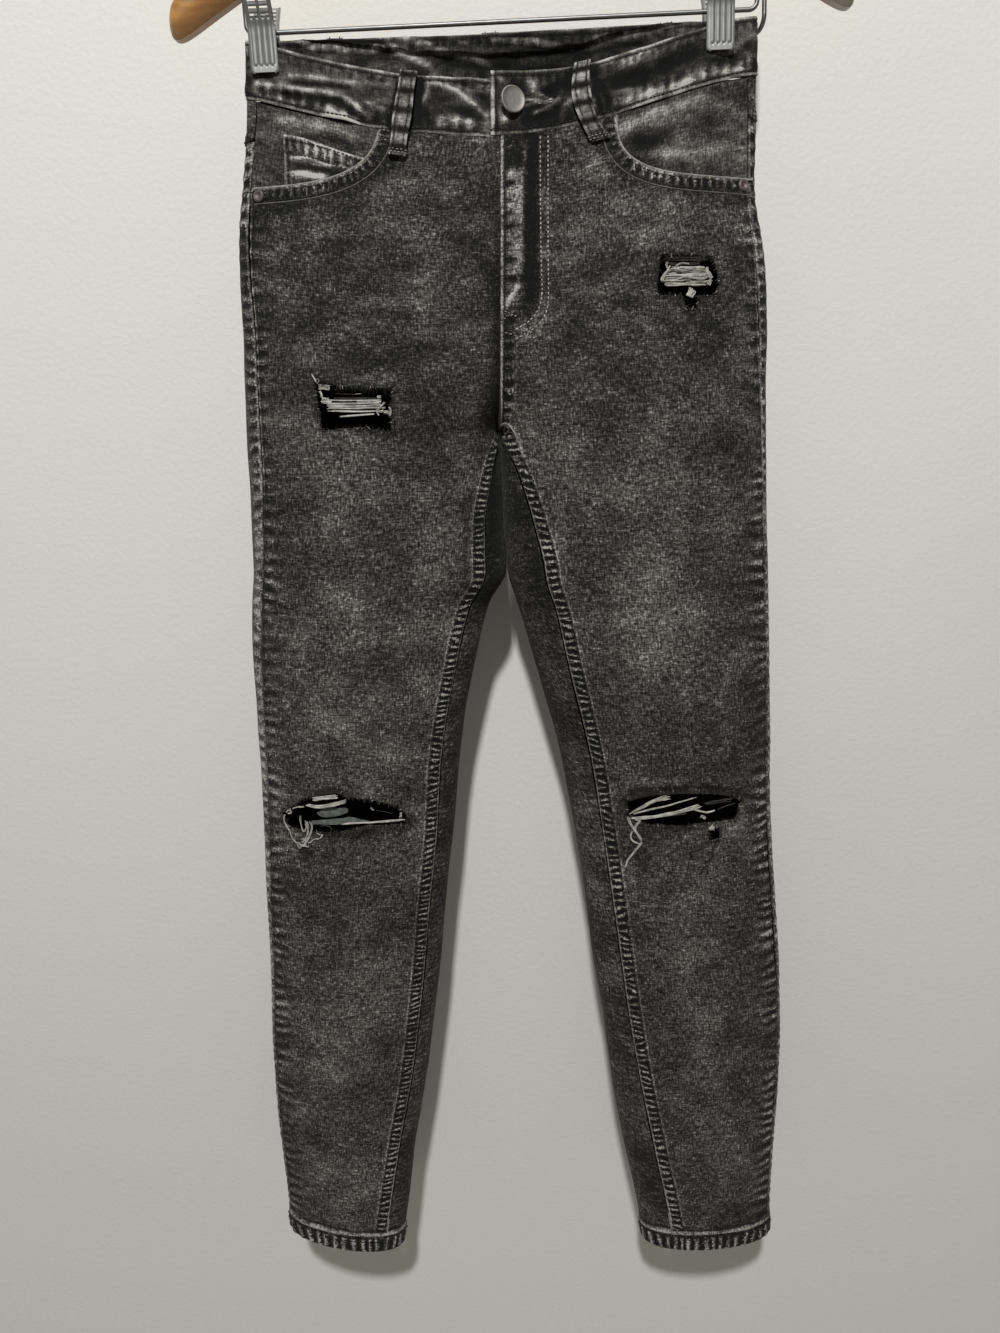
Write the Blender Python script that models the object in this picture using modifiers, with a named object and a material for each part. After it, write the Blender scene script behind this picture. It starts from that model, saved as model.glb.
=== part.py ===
"""Ripped skinny jeans that hang flat from the two clips of a wooden hanger.

Metres, +Z up. The origin is the inside top of the hook, where a rail or a nail holds it. The front
of the jeans faces -Y and the wearer's right side is at -X. Every piece of cloth follows one skin:
horizontal sections of the two legs, which meet as one tube above the crotch.
"""

import math

import bmesh
import bpy
from mathutils import Matrix, Vector

# Cloth walls and seams
PANEL_WALL = 0.0011
FACING_WALL = 0.0010
BAND_WALL = 0.0024
LOOP_WALL = 0.0014
HEM_WALL = 0.0028
SEAM_GAP = 0.0003
INSEAM_GAP = 0.0005
BAND_PROUD = 0.0005
HEM_PROUD = 0.0006

# Levels of the cloth at its side corners; the front sags below them and the hanger tilts them
WAIST_SEAM = -0.2103
BAND_HEIGHT = 0.0346
CROTCH = -0.4300
HEM_SEAM = -1.0820
HEM_BOTTOM = -1.1010
WAIST_TILT = 0.0428
FRONT_DIP = 0.0335
BACK_DIP = -0.0040
DIP_POWER = {"right": 1.25, "left": 1.80}

# Sections of each leg. outer and inner are the section's two ends; above the crotch the inner end
# lies past the centre line and the section is cut there. front and back are its depths from y = 0.
# inseam and side are how far the back panel wraps round those ends onto the front.
COLUMNS = ("z", "outer", "inner", "front", "back", "inseam", "side")
SECTIONS = {
    "right": (
        (-0.160, -0.1640, 0.1640, 0.018, 0.017, 0.0000, 0.0070),
        (-0.217, -0.1655, 0.1655, 0.021, 0.022, 0.0000, 0.0070),
        (-0.265, -0.1705, 0.1700, 0.028, 0.032, 0.0000, 0.0065),
        (-0.315, -0.1758, 0.1600, 0.035, 0.043, 0.0000, 0.0080),
        (-0.367, -0.1762, 0.1000, 0.040, 0.050, 0.0000, 0.0110),
        (-0.400, -0.1770, 0.0360, 0.042, 0.052, 0.0000, 0.0125),
        (-0.430, -0.1778, -0.0005, 0.043, 0.053, 0.0000, 0.0135),
        (-0.455, -0.1780, 0.0005, 0.043, 0.053, 0.0050, 0.0138),
        (-0.490, -0.1780, 0.0015, 0.043, 0.052, 0.0120, 0.0125),
        (-0.525, -0.1783, 0.0025, 0.042, 0.050, 0.0140, 0.0110),
        (-0.550, -0.1805, -0.0080, 0.041, 0.048, 0.0130, 0.0105),
        (-0.594, -0.1825, -0.0179, 0.039, 0.044, 0.0130, 0.0095),
        (-0.656, -0.1824, -0.0289, 0.035, 0.039, 0.0130, 0.0082),
        (-0.722, -0.1823, -0.0349, 0.030, 0.033, 0.0120, 0.0065),
        (-0.789, -0.1837, -0.0428, 0.028, 0.030, 0.0115, 0.0045),
        (-0.860, -0.1844, -0.0502, 0.027, 0.031, 0.0110, 0.0035),
        (-0.934, -0.1860, -0.0587, 0.026, 0.030, 0.0115, 0.0030),
        (-1.011, -0.1842, -0.0710, 0.024, 0.026, 0.0125, 0.0028),
        (-1.051, -0.1815, -0.0755, 0.023, 0.024, 0.0145, 0.0026),
        (-1.110, -0.1790, -0.0835, 0.023, 0.023, 0.0150, 0.0026),
    ),
    "left": (
        (-0.160, 0.1650, -0.1650, 0.018, 0.017, 0.0000, 0.0070),
        (-0.217, 0.1675, -0.1675, 0.021, 0.022, 0.0000, 0.0060),
        (-0.265, 0.1690, -0.1690, 0.028, 0.032, 0.0000, 0.0050),
        (-0.315, 0.1790, -0.1620, 0.035, 0.043, 0.0000, 0.0080),
        (-0.367, 0.1836, -0.1000, 0.040, 0.050, 0.0000, 0.0075),
        (-0.400, 0.1850, -0.0360, 0.042, 0.052, 0.0000, 0.0065),
        (-0.430, 0.1866, 0.0005, 0.043, 0.053, 0.0000, 0.0057),
        (-0.455, 0.1885, 0.0015, 0.043, 0.053, 0.0100, 0.0055),
        (-0.490, 0.1910, 0.0030, 0.043, 0.052, 0.0200, 0.0053),
        (-0.525, 0.1938, 0.0055, 0.042, 0.050, 0.0260, 0.0050),
        (-0.550, 0.1962, 0.0130, 0.041, 0.048, 0.0260, 0.0050),
        (-0.594, 0.2004, 0.0253, 0.039, 0.044, 0.0240, 0.0048),
        (-0.656, 0.2044, 0.0433, 0.035, 0.039, 0.0215, 0.0046),
        (-0.722, 0.2094, 0.0566, 0.030, 0.033, 0.0205, 0.0042),
        (-0.789, 0.2170, 0.0681, 0.028, 0.030, 0.0200, 0.0036),
        (-0.860, 0.2249, 0.0785, 0.027, 0.031, 0.0205, 0.0033),
        (-0.934, 0.2298, 0.0901, 0.026, 0.030, 0.0220, 0.0030),
        (-1.011, 0.2307, 0.1040, 0.024, 0.026, 0.0245, 0.0030),
        (-1.051, 0.2308, 0.1128, 0.023, 0.024, 0.0250, 0.0030),
        (-1.110, 0.2325, 0.1245, 0.023, 0.023, 0.0255, 0.0030),
    ),
}

# Form of the sections: power is that of the sine, high where the clips pinch the waist flat, and
# rim is the half thickness that the pinched side edges keep.
FORM_COLUMNS = ("z", "power", "rim")
FORM = (
    (-0.160, 4.00, 0.0030),
    (-0.217, 3.20, 0.0030),
    (-0.245, 2.00, 0.0030),
    (-0.290, 1.20, 0.0020),
    (-0.350, 0.95, 0.0005),
    (-0.430, 0.82, 0.0000),
    (-0.600, 0.80, 0.0000),
    (-0.720, 0.85, 0.0000),
    (-1.110, 0.80, 0.0000),
)

# Mouths of the front pockets: x and z of the rounded corner's centre, its width, depth and power
POCKETS = {
    "right": (-0.1650, -0.2250, 0.0874, 0.0465, 3.0),
    "left": (0.1700, -0.2220, 0.0950, 0.0435, 4.0),
}
POCKET_STEPS = 10
FACING_LEVEL = -0.2750
COIN_POCKET_SIDES = (-0.0830, -0.1416)
COIN_POCKET_TOP = (-0.2560, -0.2385)
COIN_POCKET_FOOT = -0.2850
FACING_REACH = 0.0120
RIVETS = {"right": (-0.1585, -0.2770), "left": (0.1600, -0.2700)}

# Outlines of the rips in x and z, each a loop round its hole
RIPS = {
    "thigh_right": ("right", (
        (-0.1240, -0.3890), (-0.1195, -0.3950), (-0.1050, -0.3985), (-0.0710, -0.3995),
        (-0.0704, -0.4100), (-0.0725, -0.4280), (-0.0900, -0.4245), (-0.1185, -0.4270),
        (-0.1205, -0.4100))),
    "thigh_left": ("left", (
        (0.1035, -0.3160), (0.1210, -0.3150), (0.1390, -0.3165), (0.1440, -0.3325),
        (0.1405, -0.3395), (0.1300, -0.3400), (0.1285, -0.3470), (0.1215, -0.3470),
        (0.1195, -0.3400), (0.1025, -0.3400))),
    "knee_right": ("right", (
        (-0.1630, -0.7060), (-0.1560, -0.7010), (-0.1400, -0.6880), (-0.1272, -0.6822),
        (-0.1190, -0.6819), (-0.1120, -0.6890), (-0.0923, -0.6925), (-0.0757, -0.6980),
        (-0.0694, -0.7060), (-0.0696, -0.7136), (-0.0990, -0.7128), (-0.1194, -0.7186),
        (-0.1392, -0.7195), (-0.1579, -0.7165))),
    "knee_left": ("left", (
        (0.0945, -0.7050), (0.0940, -0.6920), (0.1097, -0.6861), (0.1375, -0.6834),
        (0.1632, -0.6853), (0.1801, -0.6926), (0.1767, -0.7100), (0.1527, -0.7110),
        (0.1377, -0.7136), (0.1088, -0.7124))),
    "knee_small_left": ("left", (
        (0.1545, -0.7150), (0.1640, -0.7145), (0.1650, -0.7250), (0.1570, -0.7260))),
}

# Belt loops: name, leg, whether at the back, and x of the centre line at its top, bend and bottom
LOOPS = (
    ("loop_front_right", "right", False, -0.0575, -0.0615, -0.0657),
    ("loop_front_left", "left", False, 0.0519, 0.0522, 0.0644),
    ("loop_back_right", "right", True, -0.1080, -0.1085, -0.1090),
    ("loop_back_centre", "right", True, -0.0065, -0.0065, -0.0065),
    ("loop_back_left", "left", True, 0.1080, 0.1085, 0.1090),
)
LOOP_WIDTH = 0.0110
LOOP_BELOW = 0.0110
LOOP_BOW = 0.0022

YOKE_SIDE = 0.0240
YOKE_CENTRE = 0.0500
BACK_POCKET_X = 0.0860
BACK_POCKET_TOP = -0.2680
BACK_POCKET_WIDTH = 0.1150
BACK_POCKET_FOOT = 0.1020
BACK_POCKET_DEPTH = 0.1180
BACK_POCKET_POINT = 0.0170

TAB_END = -0.0060
TAB_LIFT = 0.0040
UNDERLAP = 0.0300
STEP_IN = (-0.0220, -0.0075)
BUTTON_PLACE = (0.0079, -0.2226)
BUTTON_RADIUS = 0.0085
RIVET_RADIUS = 0.0040

# Hanger, in its own level frame before it tilts about the hook
HANGER_TILT = math.radians(2.5)
HOOK_BORE = 0.0180
HOOK_WIRE = 0.00175
HOOK_END = -0.0700
WOOD_CENTRE = -0.0755
WOOD_DROP = 0.0905
WOOD_HALF_SPAN = 0.2195
WOOD_HALF_HEIGHT = 0.0130
WOOD_TIP_POWER = 50
WOOD_THICK_CENTRE = 0.0150
WOOD_THICK_TIP = 0.0230
WOOD_STEPS = 26
# Half of the arm's section, as shares of its half thickness and half height
WOOD_SECTION = (
    (0.50, 1.00), (0.75, 0.92), (0.88, 0.70), (1.00, 0.05), (0.92, -0.30), (0.68, -0.72), (0.35, -1.00),
)
HOLE_DEPTH = 0.0300
HOLE_SPARE = 0.0005
WIRE_BELOW_LINE = 0.0060
BAR_DROP = -0.1712
BAR_WIRE = 0.0015
BAR_LEFT = -0.1707
BAR_RIGHT = 0.1575
BAR_BEND = 0.0050
END_WIRE_X = 0.1622
END_WIRE_BELOW = 0.0080
CLIPS = {"right": -0.1600, "left": 0.1328}
CLIP_WIDTH = 0.0170
CLIP_WALL = 0.0010
JAW_DROP = -0.1958
HANDLE_TOP = -0.1500
HANDLE_REACH = 0.0200
SPRING_OUTER = 0.0038
SPRING_INNER = 0.0018
SPRING_WIDTH = 0.0080

DENIM = (0.060, 0.060, 0.060)
DENIM_DARK = (0.035, 0.035, 0.037)
STEEL = (0.42, 0.43, 0.43)
CHROME = (0.60, 0.60, 0.60)
HONEY_WOOD = (0.55, 0.27, 0.09)


# Reading the tables

def reading(rows, column, z):
    """One column of a table at height z, eased without overshoot between its rows."""
    z = max(rows[-1][0], min(rows[0][0], z))
    row = 0
    while row < len(rows) - 2 and z < rows[row + 1][0]:
        row += 1

    def rise(i):
        return (rows[i + 1][column] - rows[i][column]) / (rows[i + 1][0] - rows[i][0])

    def slope(i):
        if i in (0, len(rows) - 1):
            return rise(min(i, len(rows) - 2))
        before, after = rise(i - 1), rise(i)
        return 0.0 if before * after <= 0 else 2 * before * after / (before + after)

    step = rows[row + 1][0] - rows[row][0]
    t = (z - rows[row][0]) / step
    return (
        (2 * t**3 - 3 * t**2 + 1) * rows[row][column]
        + (t**3 - 2 * t**2 + t) * slope(row) * step
        + (3 * t**2 - 2 * t**3) * rows[row + 1][column]
        + (t**3 - t**2) * slope(row + 1) * step
    )


def section(leg, name, z):
    return reading(SECTIONS[leg], COLUMNS.index(name), z)


def form(name, z):
    return reading(FORM, FORM_COLUMNS.index(name), z)


def middle_and_half(leg, z):
    outer, inner = section(leg, "outer", z), section(leg, "inner", z)
    return (outer + inner) / 2, (outer - inner) / 2


def mix(a, b, t):
    return a + (b - a) * t


def smooth(t):
    t = max(0.0, min(1.0, t))
    return t * t * (3 - 2 * t)


def eased(t):
    """A share of the way across a panel, with its columns closest at both edges."""
    return t - 0.55 * math.sin(2 * math.pi * t) / (2 * math.pi)


def stretch(first, last, count):
    """count numbers from first up to, and not including, last."""
    return [mix(first, last, i / count) for i in range(count)]


# The skin: turn is 0 at a leg's inner end, 1 at its outer side round the front, 2 round the back

def skin(leg, z, turn):
    middle, half = middle_and_half(leg, z)
    cosine, sine = math.cos(math.pi * turn), math.sin(math.pi * turn)
    power, rim = form("power", z), form("rim", z)
    from_end = abs(half) * (1 - abs(cosine))
    edge = math.sqrt(1 - (1 - from_end / rim) ** 2) if from_end < rim else 1.0
    depth = section(leg, "front" if sine >= 0 else "back", z)
    y = (depth - rim) * abs(sine) ** power + rim * edge
    return Vector((middle - half * cosine, -y if sine >= 0 else y, z))


def off_skin(leg, z, turn, out):
    """The skin's point moved out of the cloth by out, or into it where out is negative."""
    point = skin(leg, z, turn)
    if out == 0:
        return point
    along = skin(leg, z, turn + 0.004) - skin(leg, z, turn - 0.004)
    down = skin(leg, z - 0.001, turn) - skin(leg, z + 0.001, turn)
    normal = along.cross(down) if leg == "right" else down.cross(along)
    return point + normal.normalized() * out


def height(leg, level, turn, x):
    """Where the cloth's level lies at x: tilted with the hanger, and sagging between the clips."""
    down = (level - HEM_BOTTOM) / (WAIST_SEAM - HEM_BOTTOM)
    sag = smooth((level - CROTCH) / (WAIST_SEAM - CROTCH))
    across = max(0.0, 1 - (x / section(leg, "outer", level)) ** 2)
    dip = FRONT_DIP if turn % 2 <= 1 else BACK_DIP
    return level + WAIST_TILT * min(1.0, max(0.0, down)) * x - dip * sag * across ** DIP_POWER[leg]


def height_at(leg, level, turn):
    z = level
    for _ in range(3):
        z = height(leg, level, turn, skin(leg, z, turn).x)
    return z


def cloth(leg, level, turn, out=0.0):
    return off_skin(leg, height_at(leg, level, turn), turn, out)


def turn_at(leg, z, x, back=False):
    middle, half = middle_and_half(leg, z)
    turn = math.acos(max(-1.0, min(1.0, (middle - x) / half))) / math.pi
    return 2 - turn if back else turn


def spot(leg, x, z, back=False, out=0.0):
    return off_skin(leg, z, turn_at(leg, z, x, back), out)


def stepped(leg, level, turn, gap):
    """The turn that lies gap metres of cloth away."""
    nudge = math.copysign(0.002, gap)
    z = height_at(leg, level, turn)
    return turn + nudge * abs(gap) / (skin(leg, z, turn + nudge) - skin(leg, z, turn)).length


def side_seam(leg, level):
    """Turn of the side seam, on the front just inside the outer edge."""
    turn = 0.95
    for _ in range(3):
        z = height_at(leg, level, turn)
        _, half = middle_and_half(leg, z)
        turn = 1 - math.acos(1 - section(leg, "side", z) / abs(half)) / math.pi
    return turn


def inner_edge(leg, level, back):
    """Turn of a panel's inner edge: at the centre seam above the crotch, at the inseam below it."""
    if level > CROTCH:
        x = math.copysign(SEAM_GAP, section(leg, "outer", level))
        return turn_at(leg, height(leg, level, 1.5 if back else 0.5, 0.0), x, back)
    _, half = middle_and_half(leg, level)
    wrap = math.acos(1 - section(leg, "inseam", level) / abs(half)) / math.pi
    if back:
        return stepped(leg, level, 2 + wrap, -INSEAM_GAP)
    return stepped(leg, level, wrap, INSEAM_GAP)


def span(leg, level, back):
    """First and last turn of a front or back panel, a seam's gap inside its edges."""
    if back:
        return stepped(leg, level, side_seam(leg, level), SEAM_GAP), inner_edge(leg, level, True)
    return inner_edge(leg, level, False), stepped(leg, level, side_seam(leg, level), -SEAM_GAP)


# Meshes

def material(name, colour, roughness=0.9, metallic=0.0):
    made = bpy.data.materials.new(name)
    made.use_nodes = True
    shader = made.node_tree.nodes["Principled BSDF"]
    shader.inputs["Base Color"].default_value = (*colour, 1.0)
    shader.inputs["Roughness"].default_value = roughness
    shader.inputs["Metallic"].default_value = metallic
    made.diffuse_color = (*colour, 1.0)
    return made


def add_object(name, mesh, finish, collection="ripped_jeans"):
    made = bpy.data.objects.new(name, mesh)
    made.data.materials.append(finish)
    bpy.data.collections[collection].objects.link(made)
    return made


def grid_mesh(name, rows, closed=False, flip=False):
    """A sheet of quads through rows of points."""
    mesh = bmesh.new()
    verts = [[mesh.verts.new(point) for point in row] for row in rows]
    count = len(verts[0])
    for upper, lower in zip(verts, verts[1:]):
        for i in range(count if closed else count - 1):
            j = (i + 1) % count
            corners = [upper[i], upper[j], lower[j], lower[i]]
            mesh.faces.new(corners[::-1] if flip else corners)
    data = bpy.data.meshes.new(name)
    mesh.to_mesh(data)
    mesh.free()
    data.shade_smooth()
    return data


def lofted_mesh(name, rings):
    """A closed body through rings of equal count that run the same way round, with flat ends."""
    mesh = bmesh.new()
    verts = [[mesh.verts.new(point) for point in ring] for ring in rings]
    for first, second in zip(verts, verts[1:]):
        for i in range(len(first)):
            mesh.faces.new((first[i - 1], first[i], second[i], second[i - 1]))
    mesh.faces.new(verts[0])
    mesh.faces.new(verts[-1])
    bmesh.ops.recalc_face_normals(mesh, faces=mesh.faces[:])
    data = bpy.data.meshes.new(name)
    mesh.to_mesh(data)
    mesh.free()
    data.shade_smooth()
    data.set_sharp_from_angle(angle=math.radians(35))
    return data


def sheet(name, leg, rows, wall, finish, closed=False):
    """A piece of cloth: its outer face through rows of points, and a wall that grows inwards."""
    made = add_object(name, grid_mesh(name, rows, closed, leg == "left"), finish)
    shell = made.modifiers.new("wall", "SOLIDIFY")
    shell.thickness = wall
    shell.offset = -1.0
    return made


def cut(target, name, cutter):
    cutter.hide_render = True
    cutter.display_type = "WIRE"
    boolean = target.modifiers.new(name, "BOOLEAN")
    boolean.operation = "DIFFERENCE"
    boolean.object = cutter


def outline_mesh(name, outline, y_front, y_back):
    """A flat outline in x and z, extruded from y_front to y_back."""
    mesh = bmesh.new()
    face = mesh.faces.new([mesh.verts.new((x, y_front, z)) for x, z in outline])
    moved = bmesh.ops.extrude_face_region(mesh, geom=[face])["geom"]
    ends = [item for item in moved if isinstance(item, bmesh.types.BMVert)]
    bmesh.ops.translate(mesh, verts=ends, vec=(0, y_back - y_front, 0))
    bmesh.ops.recalc_face_normals(mesh, faces=mesh.faces[:])
    data = bpy.data.meshes.new(name)
    mesh.to_mesh(data)
    mesh.free()
    return data


def prism(name, outline, y_front=-0.0700, y_back=0.0):
    return add_object(name, outline_mesh(name, outline, y_front, y_back), CUTTER, "cutters")


def turned(name, profile, finish, steps=24):
    """A profile of (radius, height) turned about local Z, run down its outer side."""
    mesh = bmesh.new()
    verts = [mesh.verts.new((radius, 0, rise)) for radius, rise in profile]
    for a, b in zip(verts, verts[1:]):
        mesh.edges.new((a, b))
    if profile[0][0] > 0:
        mesh.edges.new((verts[-1], verts[0]))
    data = bpy.data.meshes.new(name)
    mesh.to_mesh(data)
    mesh.free()
    made = add_object(name, data, finish)
    screw = made.modifiers.new("turn", "SCREW")
    screw.steps = steps
    screw.render_steps = steps
    screw.use_merge_vertices = True
    screw.merge_threshold = 0.0001
    return made


def wire(name, points, radius, finish):
    curve = bpy.data.curves.new(name, "CURVE")
    curve.dimensions = "3D"
    curve.bevel_depth = radius
    curve.bevel_resolution = 3
    curve.use_fill_caps = True
    spline = curve.splines.new("POLY")
    spline.points.add(len(points) - 1)
    for slot, point in zip(spline.points, points):
        slot.co = (*point, 1.0)
    return add_object(name, curve, finish)


# Legs

def leg_levels():
    """Levels of the cloth's rows, closest about the crotch."""
    above, below = CROTCH + 0.055, CROTCH - 0.035
    return (
        stretch(WAIST_SEAM, above, 6)
        + stretch(above, below, 10)
        + stretch(below, HEM_SEAM, 14)
        + [HEM_SEAM]
    )


def panel_rows(leg, back, top, columns):
    """Rows of a leg panel under a top edge, which is a level for each share across it."""
    rows = []
    for level in leg_levels():
        below = min(1.0, (level - WAIST_SEAM) / (CROTCH - WAIST_SEAM))
        row = []
        for i in range(columns + 1):
            across = eased(i / columns)
            lies = mix(top(across), CROTCH, below) if level > CROTCH else max(level, HEM_SEAM + SEAM_GAP)
            row.append(cloth(leg, lies, mix(*span(leg, lies, back), across)))
        rows.append(row)
    return rows


def yoke_level(across):
    return WAIST_SEAM - mix(YOKE_SIDE, YOKE_CENTRE, across)


def pocket_mouth(leg):
    """Outline of the scoop that a front panel lacks, from the side to the waist and back."""
    x, z, width, depth, power = POCKETS[leg]
    out = math.copysign(1.0, x)
    curve = []
    for i in range(POCKET_STEPS + 1):
        angle = i / POCKET_STEPS * math.pi / 2
        run, drop = math.sin(angle) ** (2 / power), math.cos(angle) ** (2 / power)
        curve.append((x - out * width * run, z - depth * drop))
    inner, top = curve[-1][0], WAIST_SEAM + 0.05
    return [(x + out * 0.03, curve[0][1])] + curve + [(inner, top), (x + out * 0.03, top)]


def build_fronts():
    for leg in SECTIONS:
        rows = panel_rows(leg, False, lambda across: WAIST_SEAM - SEAM_GAP, 10)
        panel = sheet(f"front_{leg}", leg, rows, PANEL_WALL, material(f"denim_front_{leg}", DENIM))
        cut(panel, "pocket_mouth", prism(f"pocket_mouth_{leg}", pocket_mouth(leg), y_back=0.02))
        for name, (side, outline) in RIPS.items():
            if side == leg:
                cut(panel, name, prism(f"rip_{name}", outline))


def build_backs():
    for leg in SECTIONS:
        rows = panel_rows(leg, True, lambda across: yoke_level(across) - SEAM_GAP, 12)
        sheet(f"back_{leg}", leg, rows, PANEL_WALL, material(f"denim_back_{leg}", DENIM))


def build_yokes():
    columns = 14
    for leg in SECTIONS:
        rows = []
        for share in (0.0, 0.5, 1.0):
            row = []
            for i in range(columns + 1):
                across = eased(i / columns)
                lies = mix(WAIST_SEAM - SEAM_GAP, yoke_level(across) + SEAM_GAP, share)
                row.append(cloth(leg, lies, mix(*span(leg, lies, True), across)))
            rows.append(row)
        sheet(f"yoke_{leg}", leg, rows, PANEL_WALL, material(f"denim_yoke_{leg}", DENIM))


def build_hems():
    columns = 24
    for leg in SECTIONS:
        rows = []
        for level in (HEM_SEAM - SEAM_GAP, (HEM_SEAM + HEM_BOTTOM) / 2, HEM_BOTTOM):
            turns = [2 * i / columns for i in range(columns)]
            rows.append([cloth(leg, level, turn, HEM_PROUD) for turn in turns])
        sheet(f"hem_{leg}", leg, rows, HEM_WALL, material(f"denim_hem_{leg}", DENIM), closed=True)


# Waist

def band_stations():
    """Places along the waistband, from the underlap round the right side and back to the tab.

    Each is (leg, turn or None, x, out): a front station near the centre is given by its x.
    """
    under = BAND_PROUD - BAND_WALL - SEAM_GAP
    stations = [("left", None, mix(UNDERLAP, 0.002, i / 3), under) for i in range(4)]
    stations += [("right", None, x, under) for x in (-0.0005, (TAB_END + STEP_IN[1]) / 2)]
    stations += [("right", None, STEP_IN[1] - 0.001, under)]
    stations += [("right", None, mix(*STEP_IN, 0.5), BAND_PROUD)]
    turns = [1 - 0.44 * (1 - i / 8) ** 1.6 for i in range(8)]
    stations += [("right", turn, None, BAND_PROUD) for turn in turns + [1.0]]
    stations += [("right", 2 - turn, None, BAND_PROUD) for turn in reversed(turns)]
    stations += [("left", 2 - turn, None, BAND_PROUD) for turn in turns + [1.0]]
    stations += [("left", turn, None, BAND_PROUD) for turn in reversed(turns)]
    stations += [("left", None, x, BAND_PROUD) for x in (0.0200, 0.0080)]
    return stations + [("right", None, TAB_END, BAND_PROUD)]


def band_point(leg, turn, x, out, share):
    level = mix(WAIST_SEAM + BAND_HEIGHT, WAIST_SEAM + SEAM_GAP, share)
    if turn is None:
        z = height(leg, level, 0.5, x)
        turn = turn_at(leg, z, x)
    else:
        z = height_at(leg, level, turn)
        x = skin(leg, z, turn).x
    if out == BAND_PROUD and turn < 1 and x > TAB_END - 0.0001:
        z += TAB_LIFT * smooth(1 - (x - TAB_END) / 0.06) * (1 - share)
    return off_skin(leg, z, turn, out)


def build_waistband():
    stations = band_stations()
    rows = [[band_point(*station, share) for station in stations] for share in (0.0, 0.33, 0.67, 1.0)]
    sheet("waistband", "right", rows, BAND_WALL, material("denim_waistband", DENIM))


def build_loops():
    for name, leg, back, top, bend, bottom in LOOPS:
        rows = []
        for i in range(7):
            share = i / 6
            middle = mix(top, bend, share * 2) if share < 0.5 else mix(bend, bottom, share * 2 - 1)
            level = mix(WAIST_SEAM + BAND_HEIGHT - 0.0005, WAIST_SEAM - LOOP_BELOW, share)
            out = BAND_PROUD + SEAM_GAP + LOOP_WALL + LOOP_BOW * math.sin(math.pi * share) ** 0.6
            row = []
            for j in range(4):
                x = middle + (j / 3 - 0.5) * LOOP_WIDTH * (1 if back == (leg == "right") else -1)
                side = "left" if x > 0 else "right"
                z = height(side, level, 1.5 if back else 0.5, x)
                row.append(off_skin(side, z, turn_at(side, z, x, back), out))
            rows.append(row)
        sheet(name, leg, rows, LOOP_WALL, material(f"denim_{name}", DENIM))


# Pockets

def build_facings():
    depth = -PANEL_WALL - 3 * SEAM_GAP - FACING_WALL
    for leg in SECTIONS:
        x, _, width, _, _ = POCKETS[leg]
        inner = x - math.copysign(width + FACING_REACH, x)
        rows = []
        for i in range(7):
            level = mix(WAIST_SEAM - SEAM_GAP, FACING_LEVEL, i / 6)
            z = height(leg, level, 0.5, inner)
            start = turn_at(leg, z, inner)
            end = span(leg, level, False)[1]
            rows.append([cloth(leg, level, mix(start, end, j / 7), depth) for j in range(8)])
        sheet(f"facing_{leg}", leg, rows, FACING_WALL, material(f"denim_facing_{leg}", DENIM_DARK))


def build_coin_pocket():
    rows = []
    for i in range(5):
        row = []
        for j in range(7):
            x = mix(*COIN_POCKET_SIDES, j / 6)
            top = mix(*COIN_POCKET_TOP, smooth(j / 6) * 0.6 + j / 6 * 0.4)
            row.append(spot("right", x, mix(top, COIN_POCKET_FOOT, i / 4), out=-PANEL_WALL - 1.5 * SEAM_GAP))
        rows.append(row)
    sheet("coin_pocket", "right", rows, FACING_WALL, material("denim_coin_pocket", DENIM))


def build_back_pockets():
    for leg in SECTIONS:
        sign = -1 if leg == "right" else 1
        rows = []
        for i in range(7):
            row = []
            for j in range(9):
                u, v = j / 8, i / 6
                width = mix(BACK_POCKET_WIDTH, BACK_POCKET_FOOT, v)
                x = sign * (BACK_POCKET_X - (u - 0.5) * width)
                depth = BACK_POCKET_DEPTH + BACK_POCKET_POINT * (1 - abs(2 * u - 1))
                z = BACK_POCKET_TOP - v * depth
                row.append(spot(leg, x, z, back=True, out=PANEL_WALL + 2 * SEAM_GAP))
            rows.append(row)
        sheet(f"back_pocket_{leg}", leg, rows, PANEL_WALL, material(f"denim_back_pocket_{leg}", DENIM))


# Metal trim

def seat(made, foot, outside):
    """Stands a turned piece on the cloth: its local Z along the line from foot to outside."""
    turn = (outside - foot).to_track_quat("Z", "Y").to_matrix().to_4x4()
    made.matrix_world = Matrix.Translation(foot) @ turn


def build_button():
    r = BUTTON_RADIUS
    profile = ((0, 0.0040), (0.6 * r, 0.0039), (0.92 * r, 0.0034), (r, 0.0026), (0.95 * r, 0.0019),
               (0.42 * r, 0.0017), (0.36 * r, 0.0004), (0.42 * r, 0.0), (0, 0.0))
    button = turned("button", profile, material("button_metal", STEEL, 0.35, 1.0), 32)
    x, z = BUTTON_PLACE
    foot = spot("left", x, z, out=BAND_PROUD + SEAM_GAP + 0.0001)
    seat(button, foot, spot("left", x, z, out=0.02))


def build_rivets():
    r = RIVET_RADIUS
    profile = ((0, 0.0013), (0.35 * r, 0.0012), (0.45 * r, 0.0008), (0.75 * r, 0.0012),
               (r, 0.0004), (r, 0.0), (0, 0.0))
    for leg, (x, z) in RIVETS.items():
        rivet = turned(f"rivet_{leg}", profile, material(f"rivet_metal_{leg}", STEEL, 0.4, 1.0), 20)
        foot = spot(leg, x, z, out=2 * SEAM_GAP)
        seat(rivet, foot, spot(leg, x, z, out=0.02))


# Hanger

def tilted(x, y, z):
    """A place in the hanger's own frame, tilted about the hook."""
    cosine, sine = math.cos(HANGER_TILT), math.sin(HANGER_TILT)
    return Vector((x * cosine - z * sine, y, x * sine + z * cosine))


def wood_line(x):
    return WOOD_CENTRE - WOOD_DROP * (abs(x) / WOOD_HALF_SPAN) ** 1.5


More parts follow.
